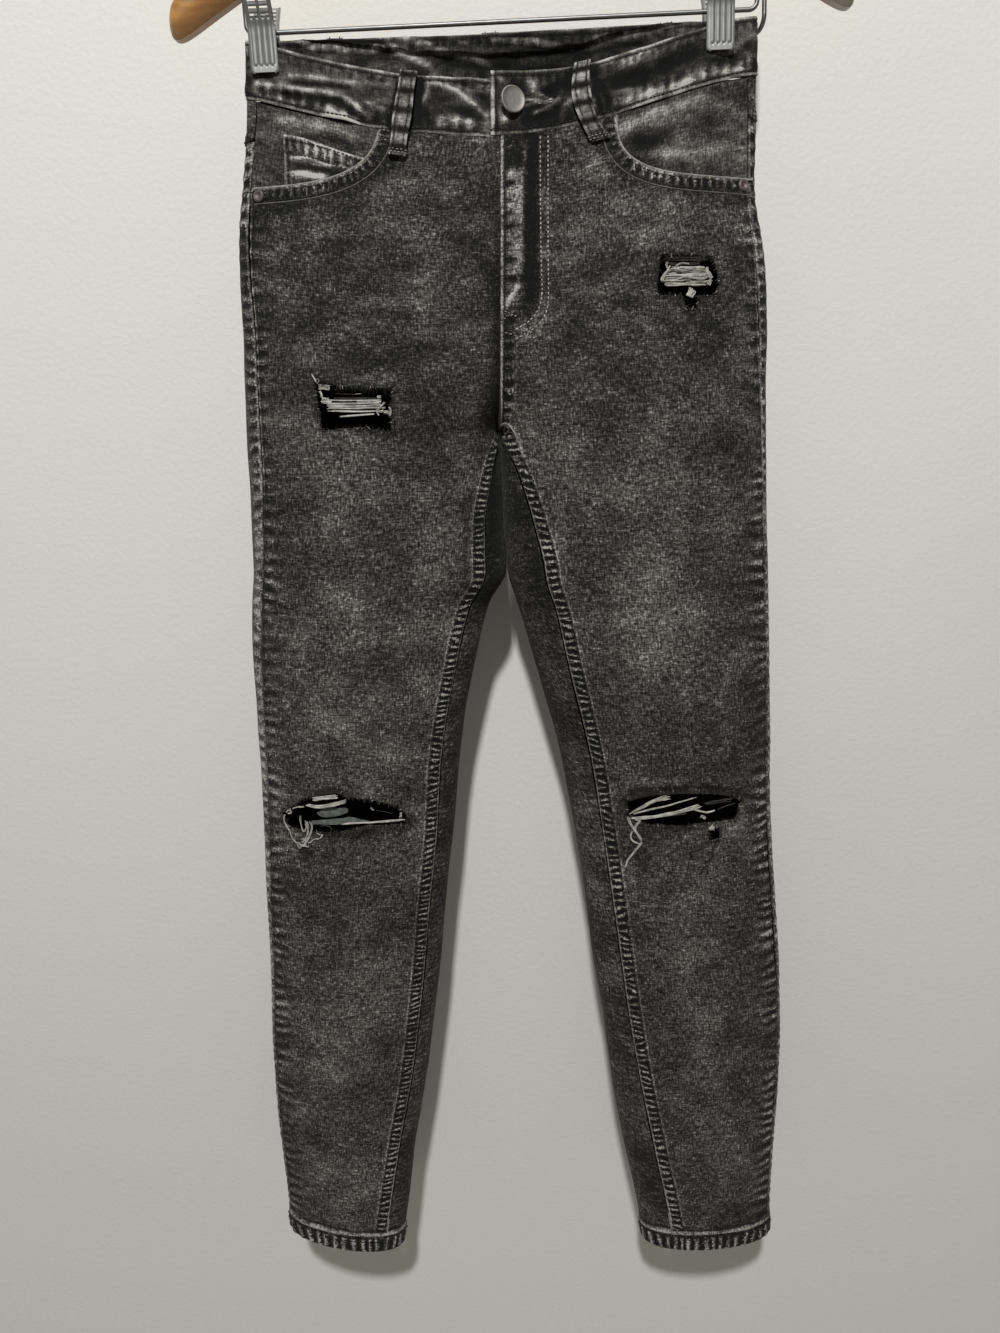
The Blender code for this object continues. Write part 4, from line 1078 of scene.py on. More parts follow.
def buildLegPanel(leg, back):
    name = f"{'back' if back else 'front'}_{leg}"
    levels = legLevels(back)
    top = (lambda across: yokeLevel(across) - gap) if back else (lambda across: across * 0 + waist - gap)
    panel = layPanel(leg, back, levels, legLook["backMiddle" if back else "frontMiddle"], top)
    turn, z = panel["turn"], panel["z"]
    x = skin(leg, z, turn)[..., 0]
    keep = np.ones((x.shape[0] - 1, x.shape[1] - 1), bool)
    if not back:
        cutHole(x, z, keep, mouthLoop(leg))
        for number, (side, loop) in enumerate(rips.values()):
            if side == leg:
                cutHole(x, z, keep, raggedLoop(loop, 0.0006, 300 + number))
        turn = turnAt(leg, z, x)
    lift, *marks = legRelief(leg, back, x, z, panel["level"], panel["inner"], panel["outer"])
    number = ("front_right", "front_left", "back_right", "back_left").index(name)
    uv = panelUV(panel, levels, 1.0 + 0.37 * number)
    piece = dress(name, leg, z, turn, lift, garment["wall"], denim, uv, marks, keep=keep, inside=denimInside)
    print(name, "made:", len(piece.data.polygons), "faces")


for leg in legs:
    for back in (False, True):
        buildLegPanel(leg, back)


# smaller cloth: everything that is sewn on the legs


def lengths(points):
    # distances along the middle row and the middle column of a grid
    return runAlong(points[len(points) // 2]), runAlong(points[:, points.shape[1] // 2])


def plainUV(across, down, offset):
    return np.stack(np.broadcast_arrays(across + offset, -down[:, None]), axis=-1)


bandLook = {
    "rows": 40,
    "frontStep": 0.001,
    "backStep": 0.0019,
    "tabEnd": -0.006,
    "tabLift": 0.004,
    "underlap": 0.03,
    "stepIn": -0.0085,
    "pitch": 0.009,
}

# folds on the band: worn patches, painted highlights on its ridges and painted shade in its creases; the dark
# strokes about the button are painted shade, and the last four rows are painted shadows beside the front
# loops
bandFolds = (
    (-160, -208.5, -136.5, -212, -117, -214.5, -101.5, -217.5, -91.5, -225, -85, -231, 22, 14, 34),
    (-142, -215, -104, -220.5, -87.5, -234, 22, -10, -34),
    (-138, -204, -117, -206.5, -101, -209.5, -91, -210.5, 18, 7, 28),
    (-135, -208.5, -110, -210.5, -96, -213, 14, -6, -26),
    (-116.5, -226, -102, -231, -87.5, -236, 38, 10, 30),
    (-158, -215.5, -142.5, -219.5, -131, -222.5, 34, 8, 26), (-87, -221.5, -71, -229, 22, 8, 26),
    (-87.5, -211.5, -68.5, -213.5, 18, 6, 20), (-73.5, -228, -70, -237.5, 18, -5, -36),
    (-45, -212.5, -29, -216.5, -17.5, -225, -6.5, -232, 20, 14, 40), (-45, -213.5, -49.5, -226, 20, 8, 30),
    (-43, -234, -15.5, -237, 36, 9, 30), (-50.5, -211.5, -54, -238, 26, -9, -40),
    (-25.5, -212, -7.5, -222.5, 22, -9, -32), (-35, -226, -25, -229, -15, -233, 22, -7, -28),
    (-22, -215.5, -12, -218.5, 15, 6, 25), (-47.5, -228, -45, -239, 20, -5, -34),
    (-4.5, -209, -3.5, -238, 10, 3, 26), (-2.5, -208, 3.5, -213, 20, 6, 32),
    (18, -209.5, 21, -215, 23, -219.5, 32, 7, 42), (9, -210, 12, -215, 36, -4, -34),
    (27.5, -217, 33.5, -219.5, 36, -5, -34), (15.5, -229, 26.5, -226, 26, -4, -36),
    (15, -222.5, 24, -223.5, 33, -222, 9, 3, 50), (24, -219, 34, -222, 8, 3, 42),
    (15, -226, 23.5, -225.5, 33, -223, 9, 3, 42), (12, -237.5, 32, -231, 30, -4, -28),
    (25.5, -213, 30, -215, 16, 4, 25), (21, -232, 30, -227.5, 36, -223.5, 38, -220.5, 18, 11, 35),
    (23.5, -227, 33, -220, 37, -212, 20, -8, -30), (39.5, -227.5, 45, -222.5, 48, -220.5, 18, 8, 30),
    (0, -233.5, 7, -235, 30, 5, 34), (15, -233, 30, -234, 20, -4, -22),
    (61, -202, 79, -198.5, 101.5, -190.5, 24, 9, 20), (68, -212, 90.5, -207, 129, -189.5, 52, -14, -34),
    (75, -223.5, 91, -218.5, 108.5, -214, 125, -207, 135.5, -204, 36, 10, 36),
    (62, -219, 76, -216, 90, -214, 18, 6, 20), (146, -190.5, 158, -183.5, 24, 8, 30),
    (136.5, -203, 159, -200, 26, 8, 26), (130, -196, 156, -193, 22, -7, -25),
    (61, -208, 70.5, -225.5, 24, -8, -36), (45, -204, 42, -218, 24, -6, -26),
    (-64, -210, -67.5, -224, -71, -240, 14, -3, -45), (-51, -210, -53.5, -224, -58, -240, 18, -3, -50),
    (45.5, -202, 46, -214, 52, -233, 14, -3, -45), (59, -200, 60, -214, 66, -230, 18, -3, -50),
)
# folds on the inside of the back band, painted lighter and darker as painted highlight and shade
insideFolds = (
    (-74, -176.5, -68.5, -184, -54, -189.5, -46, -192.5, 18, -8, 34),
    (-44.5, -183, -18.5, -186.5, -6.5, -191.5, 18, -8, 34), (-64.5, -176.5, -44.5, -180, 14, -6, 28),
    (-136.5, -178, -123, -184, -89.5, -185, -77.5, -183, 18, -8, 30),
    (-6, -176, 23, -177, 49.5, -182.5, 14, -6, 30), (64, -178, 95, -174, 113, -170.5, 16, -6, 26),
    (-120, -179.5, -80, -179, 24, 6, -26), (-40, -190, 30, -196, 70, -190, 40, 8, -22),
    (20, -181, 60, -185, 95, -180, 22, 6, -24),
)


def bandRoute():
    # leg, turn and way out of places along the band: underlap, right side, back, left side and tab
    proud = garment["bandProud"]
    under = proud - garment["bandWall"] - gap
    route = [("left", turnAt("left", -0.225, x), under) for x in np.linspace(bandLook["underlap"], 0.0, 31)]
    for x in np.linspace(-0.0005, -0.03, 60):
        rise = smooth((bandLook["stepIn"] - x) / 0.0085)
        route.append(("right", turnAt("right", -0.225, x), mix(under, proud, rise)))
    route += [("right", turn, proud) for turn in np.linspace(route[-1][1], 1.0, 300)[1:]]
    route += [("right", turn, proud) for turn in np.linspace(1.0, 1.4975, 300)[1:]]
    route += [("left", turn, proud) for turn in np.linspace(1.4975, 1.0, 300)]
    route += [("left", turn, proud) for turn in np.linspace(1.0, 0.5, 300)[1:]]
    end = turnAt("right", -0.22, bandLook["tabEnd"])
    return route + [("right", turn, proud) for turn in np.linspace(0.5, end, 12)[1:]]


def buildWaistband():
    look, tall = bandLook, garment["bandHeight"]
    side, turns, outs = (np.array(column) for column in zip(*bandRoute()))

    def place(side, turn, levels):
        both = []
        for leg in legs:
            z = heightAt(leg, levels, turn)
            both.append((skin(leg, z, turn), outward(leg, z, turn)))
        return [np.where((side == "left")[:, None], left, right) for right, left in zip(*both)]

    run = runAlong(place(side, turns, np.full(len(turns), waist + tall / 2))[0])
    back = turns > 1
    # even columns, wider at the back; a column never straddles the change of leg
    want = [0.0]
    while want[-1] < run[-1]:
        at = min(np.searchsorted(run, want[-1]), len(run) - 1)
        want.append(want[-1] + look["backStep" if back[at] else "frontStep"])
    nearest = np.unique([np.argmin(np.abs(run - w)) for w in want] + [len(run) - 1])
    side, turns, outs, run, back = (values[nearest] for values in (side, turns, outs, run, back))
    lapping = (np.arange(len(run)) > np.argmax(back)) & ~back  # the end that laps over, past the back
    share = np.linspace(0, 1, look["rows"])
    share = mix(share, smooth(share), 0.55)[:, None]
    base, normal = place(side, turns, mix(waist + tall, waist + gap, share) + 0 * run)
    lift = look["tabLift"] * smooth(1 - (base[..., 0] - look["tabEnd"]) / 0.06) * (1 - share)
    base[..., 2] += lapping * lift
    x, z = base[..., 0], base[..., 2]
    drop = share * (tall - gap)
    up = tall - drop

    folds = zip(strokes(x, z, insideFolds), strokes(x, z, bandFolds))
    rise, wear = (np.where(back, inside, outside) for inside, outside in folds)
    phase, strength = puckers(run, look["pitch"], 500, 0.35)
    phaseTop, strengthTop = puckers(run, 0.0065, 501, 0.3)
    high = drop < 0.01
    rows = np.where(high, phaseTop, phase)
    envelope = np.where(high, shelf(drop, 2, 4, 5.5, 10) * 0.7 * strengthTop,
                        shelf(up, 1.6, 3.4, 8, 15) * strength)
    rise += 0.0005 * envelope * np.cos(2 * np.pi * (rows + 0.05))
    rise += 0.0007 * lumpy(run, drop, 17, 502) + 0.0005 * lumpy(run / 1.8, drop, 4.8, 503)
    rise *= 1.25
    wear *= 1.5
    wear += 0.2 * lumpy(run / 1.7, drop, 5.8, 504) + 0.14 * lumpy(run / 2.6, drop, 2.6, 505)
    # light worn edges, with painted shade in the grooves of the stitch lines
    for edge, light in ((drop, 0.46), (up, 0.42)):
        wear += light * bell(edge, 1, 0.7) - 0.24 * bell(edge, 0.7, 2.8)
        rise -= 0.0005 * (bell(edge, 0.7, 2.6) + bell(edge, 0.6))
    fromTab = x - look["tabEnd"]
    wear += lapping * (0.5 * bell(fromTab, 1.4, 1) - 0.4 * bell(fromTab, 0.8, 3.4))
    wear -= 0.03 * back + 0.15 * shelf(x, 0, 8, 36, 46) * ~back
    points = base + normal * (outs + np.where(outs < 0, 0.0, rise))[..., None]
    marks = (wear, 0.26 * envelope, rows)
    lay("waistband", points, normal, garment["bandWall"], denimBand, plainUV(run, drop[:, 0], 4.0), marks)
    return run, drop[:, 0]


bandRun, bandDrop = buildWaistband()
print("waistband made:", len(cloth["waistband"].data.polygons), "faces")


loopLook = {
    "width": 0.0112,
    "bow": 0.0022,
    "rows": 46,
    "columns": 18,
    "places": {  # leg, whether at the back, x of its top, bend and foot, and its reach below the band
        "loop_front_right": ("right", False, -0.0575, -0.0615, -0.0657, 0.0165),
        "loop_front_left": ("left", False, 0.0519, 0.0522, 0.0644, 0.0145),
        "loop_back_right": ("right", True, -0.108, -0.1085, -0.109, 0.0115),
        "loop_back_centre": ("right", True, -0.0065, -0.0065, -0.0065, 0.0115),
        "loop_back_left": ("left", True, 0.108, 0.1085, 0.109, 0.0115),
    },
}


def buildLoop(name, seed):
    look = loopLook
    leg, back, top, bend, bottom, below = look["places"][name]
    share = np.linspace(0, 1, look["rows"])[:, None]
    across = np.linspace(-0.5, 0.5, look["columns"])
    across = np.sign(across) * (1 - (1 - 2 * np.abs(across)) ** 1.25) / 2
    bowed = 2 * share * (1 - share) * (2 * bend - (top + bottom) / 2)
    middle = (1 - share) ** 2 * top + bowed + share**2 * bottom
    facing = 1 if back == (leg == "right") else -1
    x = middle + across * look["width"] * facing * (1 - 0.07 * np.sin(np.pi * share * 3 + seed))
    level = mix(waist + garment["bandHeight"] + 0.0012, waist - below, share)
    z = height(leg, level + x * 0, 1.5 if back else 0.5, x)
    turn = turnAt(leg, z, x, back)
    fromTop, fromFoot, fromEdge = share * 0.046, (1 - share) * 0.046, (0.5 - np.abs(across)) * look["width"]
    phase, strength = puckers(fromTop, 0.0092, 600 + seed, 0.22)
    bars = (0.5 - 0.5 * np.cos(2 * np.pi * phase)) ** 3
    pads = shelf(fromEdge, 0.3, 1.4, 3, 4) + 0.55 * shelf(fromEdge, 3.6, 4.4, 5.4, 6)
    lift = 0.0005 * pads * (1.2 - 0.7 * bars) - 0.0006 * bell(fromEdge, 0.6)
    lift += 0.0002 * lumpy(x, z, 4, 610 + seed)
    # light worn blocks with painted shade in the troughs between them, and darker lines by the edges and ends
    wear = 0.42 * (0.55 + 0.45 * strength) - 0.92 * bars * (0.5 + 0.5 * strength)
    wear = wear + 0.16 * lumpy(x, z, 3, 620 + seed)
    wear += 0.2 * bell(fromEdge, 0.7, 0.6) - 0.3 * bell(fromEdge, 0.5, 2.3)
    wear += 0.24 * bell(fromFoot, 1.6, 1.6) - 0.2 * bell(fromTop, 1, 4.5) - 0.3 * bell(fromFoot, 1, 5.2)
    lift += garment["bandProud"] + gap + garment["loopWall"] + 0.0008
    lift += look["bow"] * np.sin(np.pi * share) ** 0.6
    normal = outward(leg, z, turn)
    points = skin(leg, z, turn) + normal * lift[..., None]
    uv = plainUV(*lengths(points), 6.0 + seed * 0.1)
    lay(name, points, normal, garment["loopWall"], denimBand, uv, (wear, 0.0, 0.0), leg == "left")


for seed, name in enumerate(loopLook["places"]):
    buildLoop(name, seed)


hemLook = {"columns": 264, "rows": 26, "fold": 15, "pitch": 0.0068}  # the fold in millimetres


def buildHem(leg):
    look, fold, top, low = hemLook, hemLook["fold"], garment["hemSeam"], garment["hemBottom"]
    levels = np.linspace(top - gap, low, look["rows"])[:, None]
    turn = np.linspace(0, 2, look["columns"], endpoint=False) + 0 * levels
    z = heightAt(leg, levels + 0 * turn, turn)
    middle = skin(leg, z, turn)[look["rows"] // 2]
    run = runAlong(np.vstack([middle, middle[:1]]))
    along, up = run[:-1], levels - low
    phase, strength = puckers(along, look["pitch"], 700 + len(leg), 0.35)
    strong = 0.4 + 0.6 * strength
    slant = phase + (up - 0.007) * 40 * lumpy(along, 0.4, 20, 713)
    folded = shelf(up, 0, 1.6, fold - 3, fold - 0.8)
    lift = folded * (0.0006 * np.cos(2 * np.pi * slant) * strong + 0.0005)
    lift += 0.0004 * lumpy(along, up, 20, 710)
    lift -= 0.0006 * bell(up, 0.8, fold) + 0.0009 * bell(up, 1)
    lip = shelf(up, fold - 0.2, fold + 0.8, 18.2, 19.2) * (0.75 + 0.35 * lumpy(along, up, 12, 711))
    # a light worn lip and bottom edge, with painted shade just under the folded edge
    wear = 0.52 * lip + 0.36 * bell(up, 1.2, 0.8) - 0.34 * bell(up, 0.8, fold - 0.8)
    wear += (0.14 * lumpy(along, up, 5.5, 712) - 0.1) * folded
    out = garment["hemProud"] * (0.25 + 0.75 * smooth((top - levels) / 0.004)) + lift
    marks = (wear, 0.74 * folded * strong, slant)
    dress(f"hem_{leg}", leg, z, turn, out, garment["hemWall"] - 0.0006, denim,
          plainUV(run, up[:, 0], 7.0 + len(leg)), marks, closed=True)


def buildYoke(leg):
    levels = np.linspace(waist, waist - 0.03, 30)
    panel = layPanel(leg, True, levels, 60, lambda across: across * 0 + waist - gap,
                     lambda across: yokeLevel(across) + gap)
    z, turn, inner = panel["z"], panel["turn"], panel["inner"]
    x = skin(leg, z, turn)[..., 0]
    up = np.linspace(1, 0, 30)[:, None] * (garment["yokeSide"] + garment["yokeCentre"]) / 2
    seed = 800 if leg == "right" else 801
    phase, strength = puckers(inner[15], 0.008, seed + 5, 0.3)
    lift = 0.0006 * lumpy(x, z, 30, seed) + 0.0007 * shelf(up, 0, 0.8, 6.8, 8.2) - 0.0005 * bell(inner, 0.8)
    wear = 0.06 * lumpy(x, z, 12, seed + 9) + 0.2 * bell(up, 0.8, 0.8)
    wear += 0.12 * bell(up, 1, 9) - 0.12 * bell(up, 0.7, 7.8)
    marks = (wear, 0.2 * shelf(up, 1.2, 2.4, 5.8, 7.2) * strength, phase)
    uv = panelUV(panel, levels, 9.0 + len(leg) * 0.3)
    dress(f"yoke_{leg}", leg, z, turn, lift, garment["wall"], denim, uv, marks)


# folds inside the pockets: painted highlights on ridges, hollows in painted shade
facingFolds = {
    "right": (
        (-149.5, -227, -130.5, -231, -110.5, -235.5, -92.5, -242.5, 32, 6, 24),
        (-133.5, -240.5, -110.5, -241.5, -95, -249, 30, -5, -22), (-150, -260, -145, -270, 40, -4, -10),
    ),
    "left": (
        (77.5, -237.5, 102, -226, 135, -215.5, 34, 7, 26),
        (83.5, -245, 95, -245, 107.5, -239.5, 58, -7, -46), (84.5, -253, 92, -259.5, 30, -4, -30),
        (91.5, -249, 126.5, -251, 149, -245, 40, 6, 16), (115, -234, 145, -230, 40, -4, -10),
        (100, -259, 125, -261, 30, -4, -12),
    ),
}


def buildFacing(leg):
    corner, _, width, _, _ = pocketMouths[leg]
    levels = np.linspace(waist - gap, -0.275, 56)
    inner = corner - math.copysign(width + 0.012, corner)
    start = turnAt(leg, height(leg, levels, 0.5, inner), inner)
    turn = mix(start[:, None], panelSpan(leg, levels, False)[1][:, None], np.linspace(0, 1, 70))
    z = heightAt(leg, levels[:, None] + turn * 0, turn)
    base = skin(leg, z, turn)
    x = base[..., 0]
    across, down = lengths(base)
    lift, wear = strokes(x, z, facingFolds[leg])
    lift = lift * 0.6 + 0.0004 * lumpy(x, z, 20, 900 + len(leg)) - 0.0003
    wear = 1.5 * wear + 0.14 * lumpy(x / 2.2, z, 4.5, 905 + len(leg)) - 0.04
    sewn = 1 - smooth(np.minimum(across[-1] - across, down[:, None] + 0.002) / 0.012)
    out = mix(-garment["wall"] - 3 * gap - garment["facingWall"] + lift * 0.8, -0.0004, sewn)
    uv = plainUV(across, down, 11.0 + len(leg) * 0.3)
    dress(f"facing_{leg}", leg, z, turn, out, garment["facingWall"], denimFacing, uv, (wear, 0.0, 0.0))


# folds on the coin pocket: light worn bars, painted highlights on ridges and painted shade in creases
coinFolds = (
    (-127, -247.5, -112, -251, -97.5, -255, 30, 7, 26),
    (-137.5, -253.5, -126, -253.5, -115, -258, -95.5, -262.5, 9, 4, 46),
    (-136.5, -257.5, -116, -261.5, -102.5, -265.5, 24, -6, -38), (-123, -258, -109, -260, 12, 4, 40),
    (-139, -262.5, -129, -264, 14, 4, 36), (-130, -263, -123, -265, -113, -266, 20, 6, 75),
    (-133, -269, -119, -270, 26, -5, -20),
)


def buildCoinPocket():
    v, u = np.linspace(0, 1, 44)[:, None], np.linspace(0, 1, 50)
    x = mix(-0.083, -0.1416, u) + v * 0
    top = mix(-0.256, -0.2385, smooth(u) * 0.6 + u * 0.4)
    z = mix(top, -0.285, v)
    turn = turnAt("right", z, x)
    drop, side = top - z, np.minimum(x + 0.1416, -0.083 - x)
    rise, wear = strokes(x, z, coinFolds)
    phase, strength = puckers(x[0], 0.006, 950, 0.3)
    rise = rise * 0.6 + 0.0003 * shelf(drop, 0, 1, 9.5, 11) - 0.0004 * bell(side, 0.6, 3)
    wear = 1.3 * wear + 0.3 * bell(side, 0.9, 0.8) - 0.34 * bell(side, 0.9, 3) + 0.1 * lumpy(x, z, 4, 951)
    wear += 0.42 * bell(drop, 1, 0.7) - 0.26 * bell(drop, 0.8, 3) - 0.3 * bell(drop, 1, 10.8)
    marks = (wear, 0.4 * shelf(drop, 1.2, 2.6, 9, 11) * strength, phase)
    uv = plainUV(*lengths(skin("right", z, turn)), 13.0)
    out = -garment["wall"] - 1.5 * gap + rise * 0.5
    dress("coin_pocket", "right", z, turn, out, garment["facingWall"], denimFacing, uv, marks)


def buildBackPocket(leg):
    seed = 1000 + len(leg)
    v, u = np.linspace(0, 1, 70)[:, None], np.linspace(0, 1, 62)
    width, depth = mix(0.115, 0.102, v), 0.118 + 0.017 * (1 - np.abs(2 * u - 1))
    x = (-1 if leg == "right" else 1) * (0.086 - (u - 0.5) * width)
    drop = v * depth
    z = -0.268 - drop
    turn = turnAt(leg, z, x, True)
    side, low = (0.5 - np.abs(u - 0.5)) * width, (1 - v) * depth * 0.97
    edge = np.minimum(np.minimum(side, low), drop * 0.5 + 0.02)
    phase, strength = puckers(np.where(side < low, z, x), 0.0075, seed + 2, 0.3)
    lift = 0.0008 * lumpy(x, z, 35, seed)
    lift += 0.0005 * (shelf(edge, 0, 1.2, 8, 10) + shelf(drop, 0, 1.2, 12, 14))
    wear = 0.3 * bell(edge, 0.9, 0.8) - 0.16 * bell(edge, 0.7, 2.6) + 0.1 * bell(edge, 1.2, 9.2) + 0.08
    wear += 0.34 * bell(drop, 1, 0.8) - 0.12 * bell(drop, 0.9, 13) + 0.06 * lumpy(x, z, 20, seed + 3)
    marks = (wear, 0.18 * shelf(edge, 1.5, 3, 6, 8) * strength, phase)
    uv = plainUV(*lengths(skin(leg, z, turn)), 15.0 + len(leg) * 0.3)
    out = garment["wall"] + 2 * gap + lift
    dress(f"back_pocket_{leg}", leg, z, turn, out, garment["wall"], denim, uv, marks)


for leg in legs:
    buildHem(leg)
    buildYoke(leg)
    buildFacing(leg)
    buildBackPocket(leg)
buildCoinPocket()
print("small cloth ready:", sum(len(p.data.polygons) for p in cloth.values()) * 2, "triangles so far")


# sewing thread

threadLook = {"pitch": 0.0029, "length": 0.0022, "thickness": 0.0009}


def threadFinish(name, tone, roughness=0.8):
    thread = Finish(name, roughness)
    thread.set("Base Color", thread.mottled(thread.noise(thread.place(), 0.004), tone, 0.62))
    return thread.material


threadTones = {
    "dark": threadFinish("darkThread", (0.013, 0.013, 0.012)),
    "grey": threadFinish("greyThread", (0.33, 0.322, 0.285)),
    "light": threadFinish("lightThread", (0.52, 0.51, 0.455)),
    "worn": threadFinish("wornEdge", (0.3, 0.294, 0.266), 0.95),
    "edge": threadFinish("foldedEdge", (0.12, 0.117, 0.104), 0.95),
    "pale": threadFinish("paleYarn", (0.52, 0.505, 0.455), 0.9),
    "dim": threadFinish("dimYarn", (0.085, 0.081, 0.068), 0.9),
    "black": threadFinish("blackYarn", (0.0075, 0.0073, 0.0066), 0.95),
    "lining": threadFinish("insideCloth", (0.13, 0.14, 0.128), 0.95),
    # a dark sheet of painted shade inside the rips
    "brown": threadFinish("ripShadeSheet", (0.034, 0.03, 0.023), 0.95),
}
seams, yarns = {}, {}


def layOn(name, path, out=0.0):
    # places on the front of a sheet for a path of (x, z), and the way out from each
    path = np.asarray(path, float)
    points, normal = (part.reshape(-1, 3) for part in grids[name])
    flat = points[:, ::2]
    near = ((flat > path.min(axis=0) - 0.006) & (flat < path.max(axis=0) + 0.006)).all(axis=1)
    near &= normal[:, 1] <= 0
    points, normal, flat = points[near], normal[near], flat[near]
    gaps = ((flat[None] - path[:, None]) ** 2).sum(axis=2)
    nearest = np.argpartition(gaps, 4, axis=1)[:, :4]
    weight = 1 / (np.take_along_axis(gaps, nearest, 1) + 1e-9)
    weight = (weight / weight.sum(axis=1, keepdims=True))[..., None]
    y = (points[nearest] * weight).sum(axis=1)[:, 1]
    face = unit((normal[nearest] * weight).sum(axis=1))
    return np.stack([path[:, 0], y, path[:, 1]], axis=1) + face * np.reshape(out, (-1, 1)), face


def sew(owner, place, face, tone="dark"):
    seams.setdefault((owner, tone), []).append((place, face))


def sewPath(owner, path, tone="dark", out=0.0001, step=0.0016):
    place, face = layOn(owner, curved(path, step), out)
    sew(owner, place, face, tone)


def sewAlong(owner, row=None, column=None, part=slice(None), tone="dark", closed=False):
    # along one row or column of a sheet's grid, counted in fractions
    points, normal = grids[owner]
    if row is None:
        points, normal, row = points.transpose(1, 0, 2), normal.transpose(1, 0, 2), column
    first = int(row)
    line = mix(points[first], points[min(first + 1, len(points) - 1)], row - first)[part]
    face = normal[first][part]
    if closed:
        line, face = np.vstack([line, line[:1]]), np.vstack([face, face[:1]])
    sew(owner, line + face * 0.0001, face, tone)


def offsetPath(path, distance):
    # a path beside another, on its outer side
    path = np.asarray(path)
    along = unit(np.gradient(path, axis=0))
    aside = np.stack([along[:, 1], -along[:, 0]], axis=1)
    centre = np.array([path[0][0], path[-1][1]])
    return path + aside * np.sign(((path - centre) * aside).sum(axis=1))[:, None] * distance


def sewWaist():
    part = slice(np.flatnonzero(bandRun > 0.052)[0], None)
    for drop in (0.0026, bandDrop[-1] - 0.0026):
        sewAlong("waistband", row=np.interp(drop, bandDrop, range(len(bandDrop))), part=part)
    sewPath("waistband", metres((-3.2, -210.5, -3, -224, -2.2, -237.5)), step=0.001)
    for path in ((16.8, -222.2, 24, -223, 32, -222.6), (16.8, -223.9, 24, -224.7, 32, -224.3),
                 (19, -219, 22.5, -217.2, 26, -215)):
        sewPath("waistband", metres(path), "light", 0.0004, step=0.0008)
    for name in loopLook["places"]:
        for column in (4.0, 13.0):
            sewAlong(name, column=column)
        for row in (loopLook["rows"] - 2.5, loopLook["rows"] - 4.0):
            sewAlong(name, row=row, tone="grey")
            sewAlong(name, row=row - 0.7)


def sewLegs():
    edge = legLook["edgeColumns"]
    at = lambda distance: np.interp(distance, edge, range(len(edge)))
    levels, backLevels = legLevels(False), legLevels(True)
    for leg in legs:
        parts = ("front", "back", "yoke", "hem", "back_pocket")
        front, back, yoke, hem, pocket = (f"{part}_{leg}" for part in parts)
        for distance in (0.0028, 0.0088):
            sewPath(front, offsetPath(mouthCurve(leg, 60), distance)[3:-1], step=0.003)
        for distance in (0.01, 0.0024):
            sewAlong(front, column=at(distance), part=slice(np.argmax(levels < crotch - 0.004), -1))
        for distance in (0.0018, 0.0075):
            column = grids[back][0].shape[1] - 1 - at(distance)
            sewAlong(back, column=column, part=slice(3, np.argmax(backLevels < crotch)))
        for up in (0.0018, 0.0072):
            sewAlong(yoke, row=(len(grids[yoke][0]) - 1) * (1 - up / 0.036))
        share = (hemLook["fold"] / 1000 - 0.0034) / (garment["hemSeam"] - garment["hemBottom"])
        sewAlong(hem, row=(hemLook["rows"] - 1) * (1 - share), closed=True)
        down, across = (count - 1 for count in grids[pocket][0].shape[:2])
        for inset in (0.0026, 0.009):
            column, row = inset / 0.108 * across, (1 - inset / 0.124) * down
            for place in (column, across - column):
                sewAlong(pocket, column=place, part=slice(2, int(row)))
            sewAlong(pocket, row=row, part=slice(int(column) + 1, across - int(column)))
        sewAlong(pocket, row=0.0128 / 0.124 * down)
    sewAlong("front_left", column=at(0.0026), part=slice(2, np.argmax(levels < crotch)))
    for path in ((30.6, -245, 30.7, -270, 31, -316, 31.3, -342, 29.6, -353, 24, -360.7, 11.2, -368.5),
                 (25.6, -245.5, 25.8, -270, 26.4, -316, 27.2, -340, 24.5, -350.8, 19, -357.5, 11, -362.5)):
        sewPath("front_left", metres(path), "light", 0.0003)
    for path in ((1.5, -350.8, 10, -354.5), (1.8, -354.6, 10.2, -354.2), (3, -356, 8.5, -352),
                 (1.2, -364, 10, -366.5)):
        sewPath("front_left", metres(path), "grey", 0.0003, step=0.001)
    sewPath("front_left", metres((10.2, -370, 9.8, -385, 9.2, -402, 8, -418)))
    for path in ((-138.5, -244, -138.6, -270), (-135, -245, -135.2, -270),
                 (-138, -242.5, -120, -246.8, -100, -253.5, -88, -258.2),
                 (-138, -251, -120, -255, -100, -262)):
        sewPath("coin_pocket", metres(path), step=0.001)


sewWaist()
sewLegs()
stitches = stitchTree()
threads = []
for number, ((owner, tone), paths) in enumerate(seams.items()):
    fine = 0.8 if tone == "grey" else 1.0
    piece = grown(f"thread_{tone}_{owner}", [p for p, _ in paths], {"up": [f for _, f in paths]}, stitches, {
        "Pitch": threadLook["pitch"] * fine, "Length": threadLook["length"] * fine,
        "Thickness": threadLook["thickness"] * fine, "Seed": number, "Material": threadTones[tone]})
    threads.append((piece, owner))
print("sewn:", sum(len(p.data.polygons) for p, _ in threads), "faces of thread")


# torn yarn: bundles across and below the rips, and the fuzz of their edges

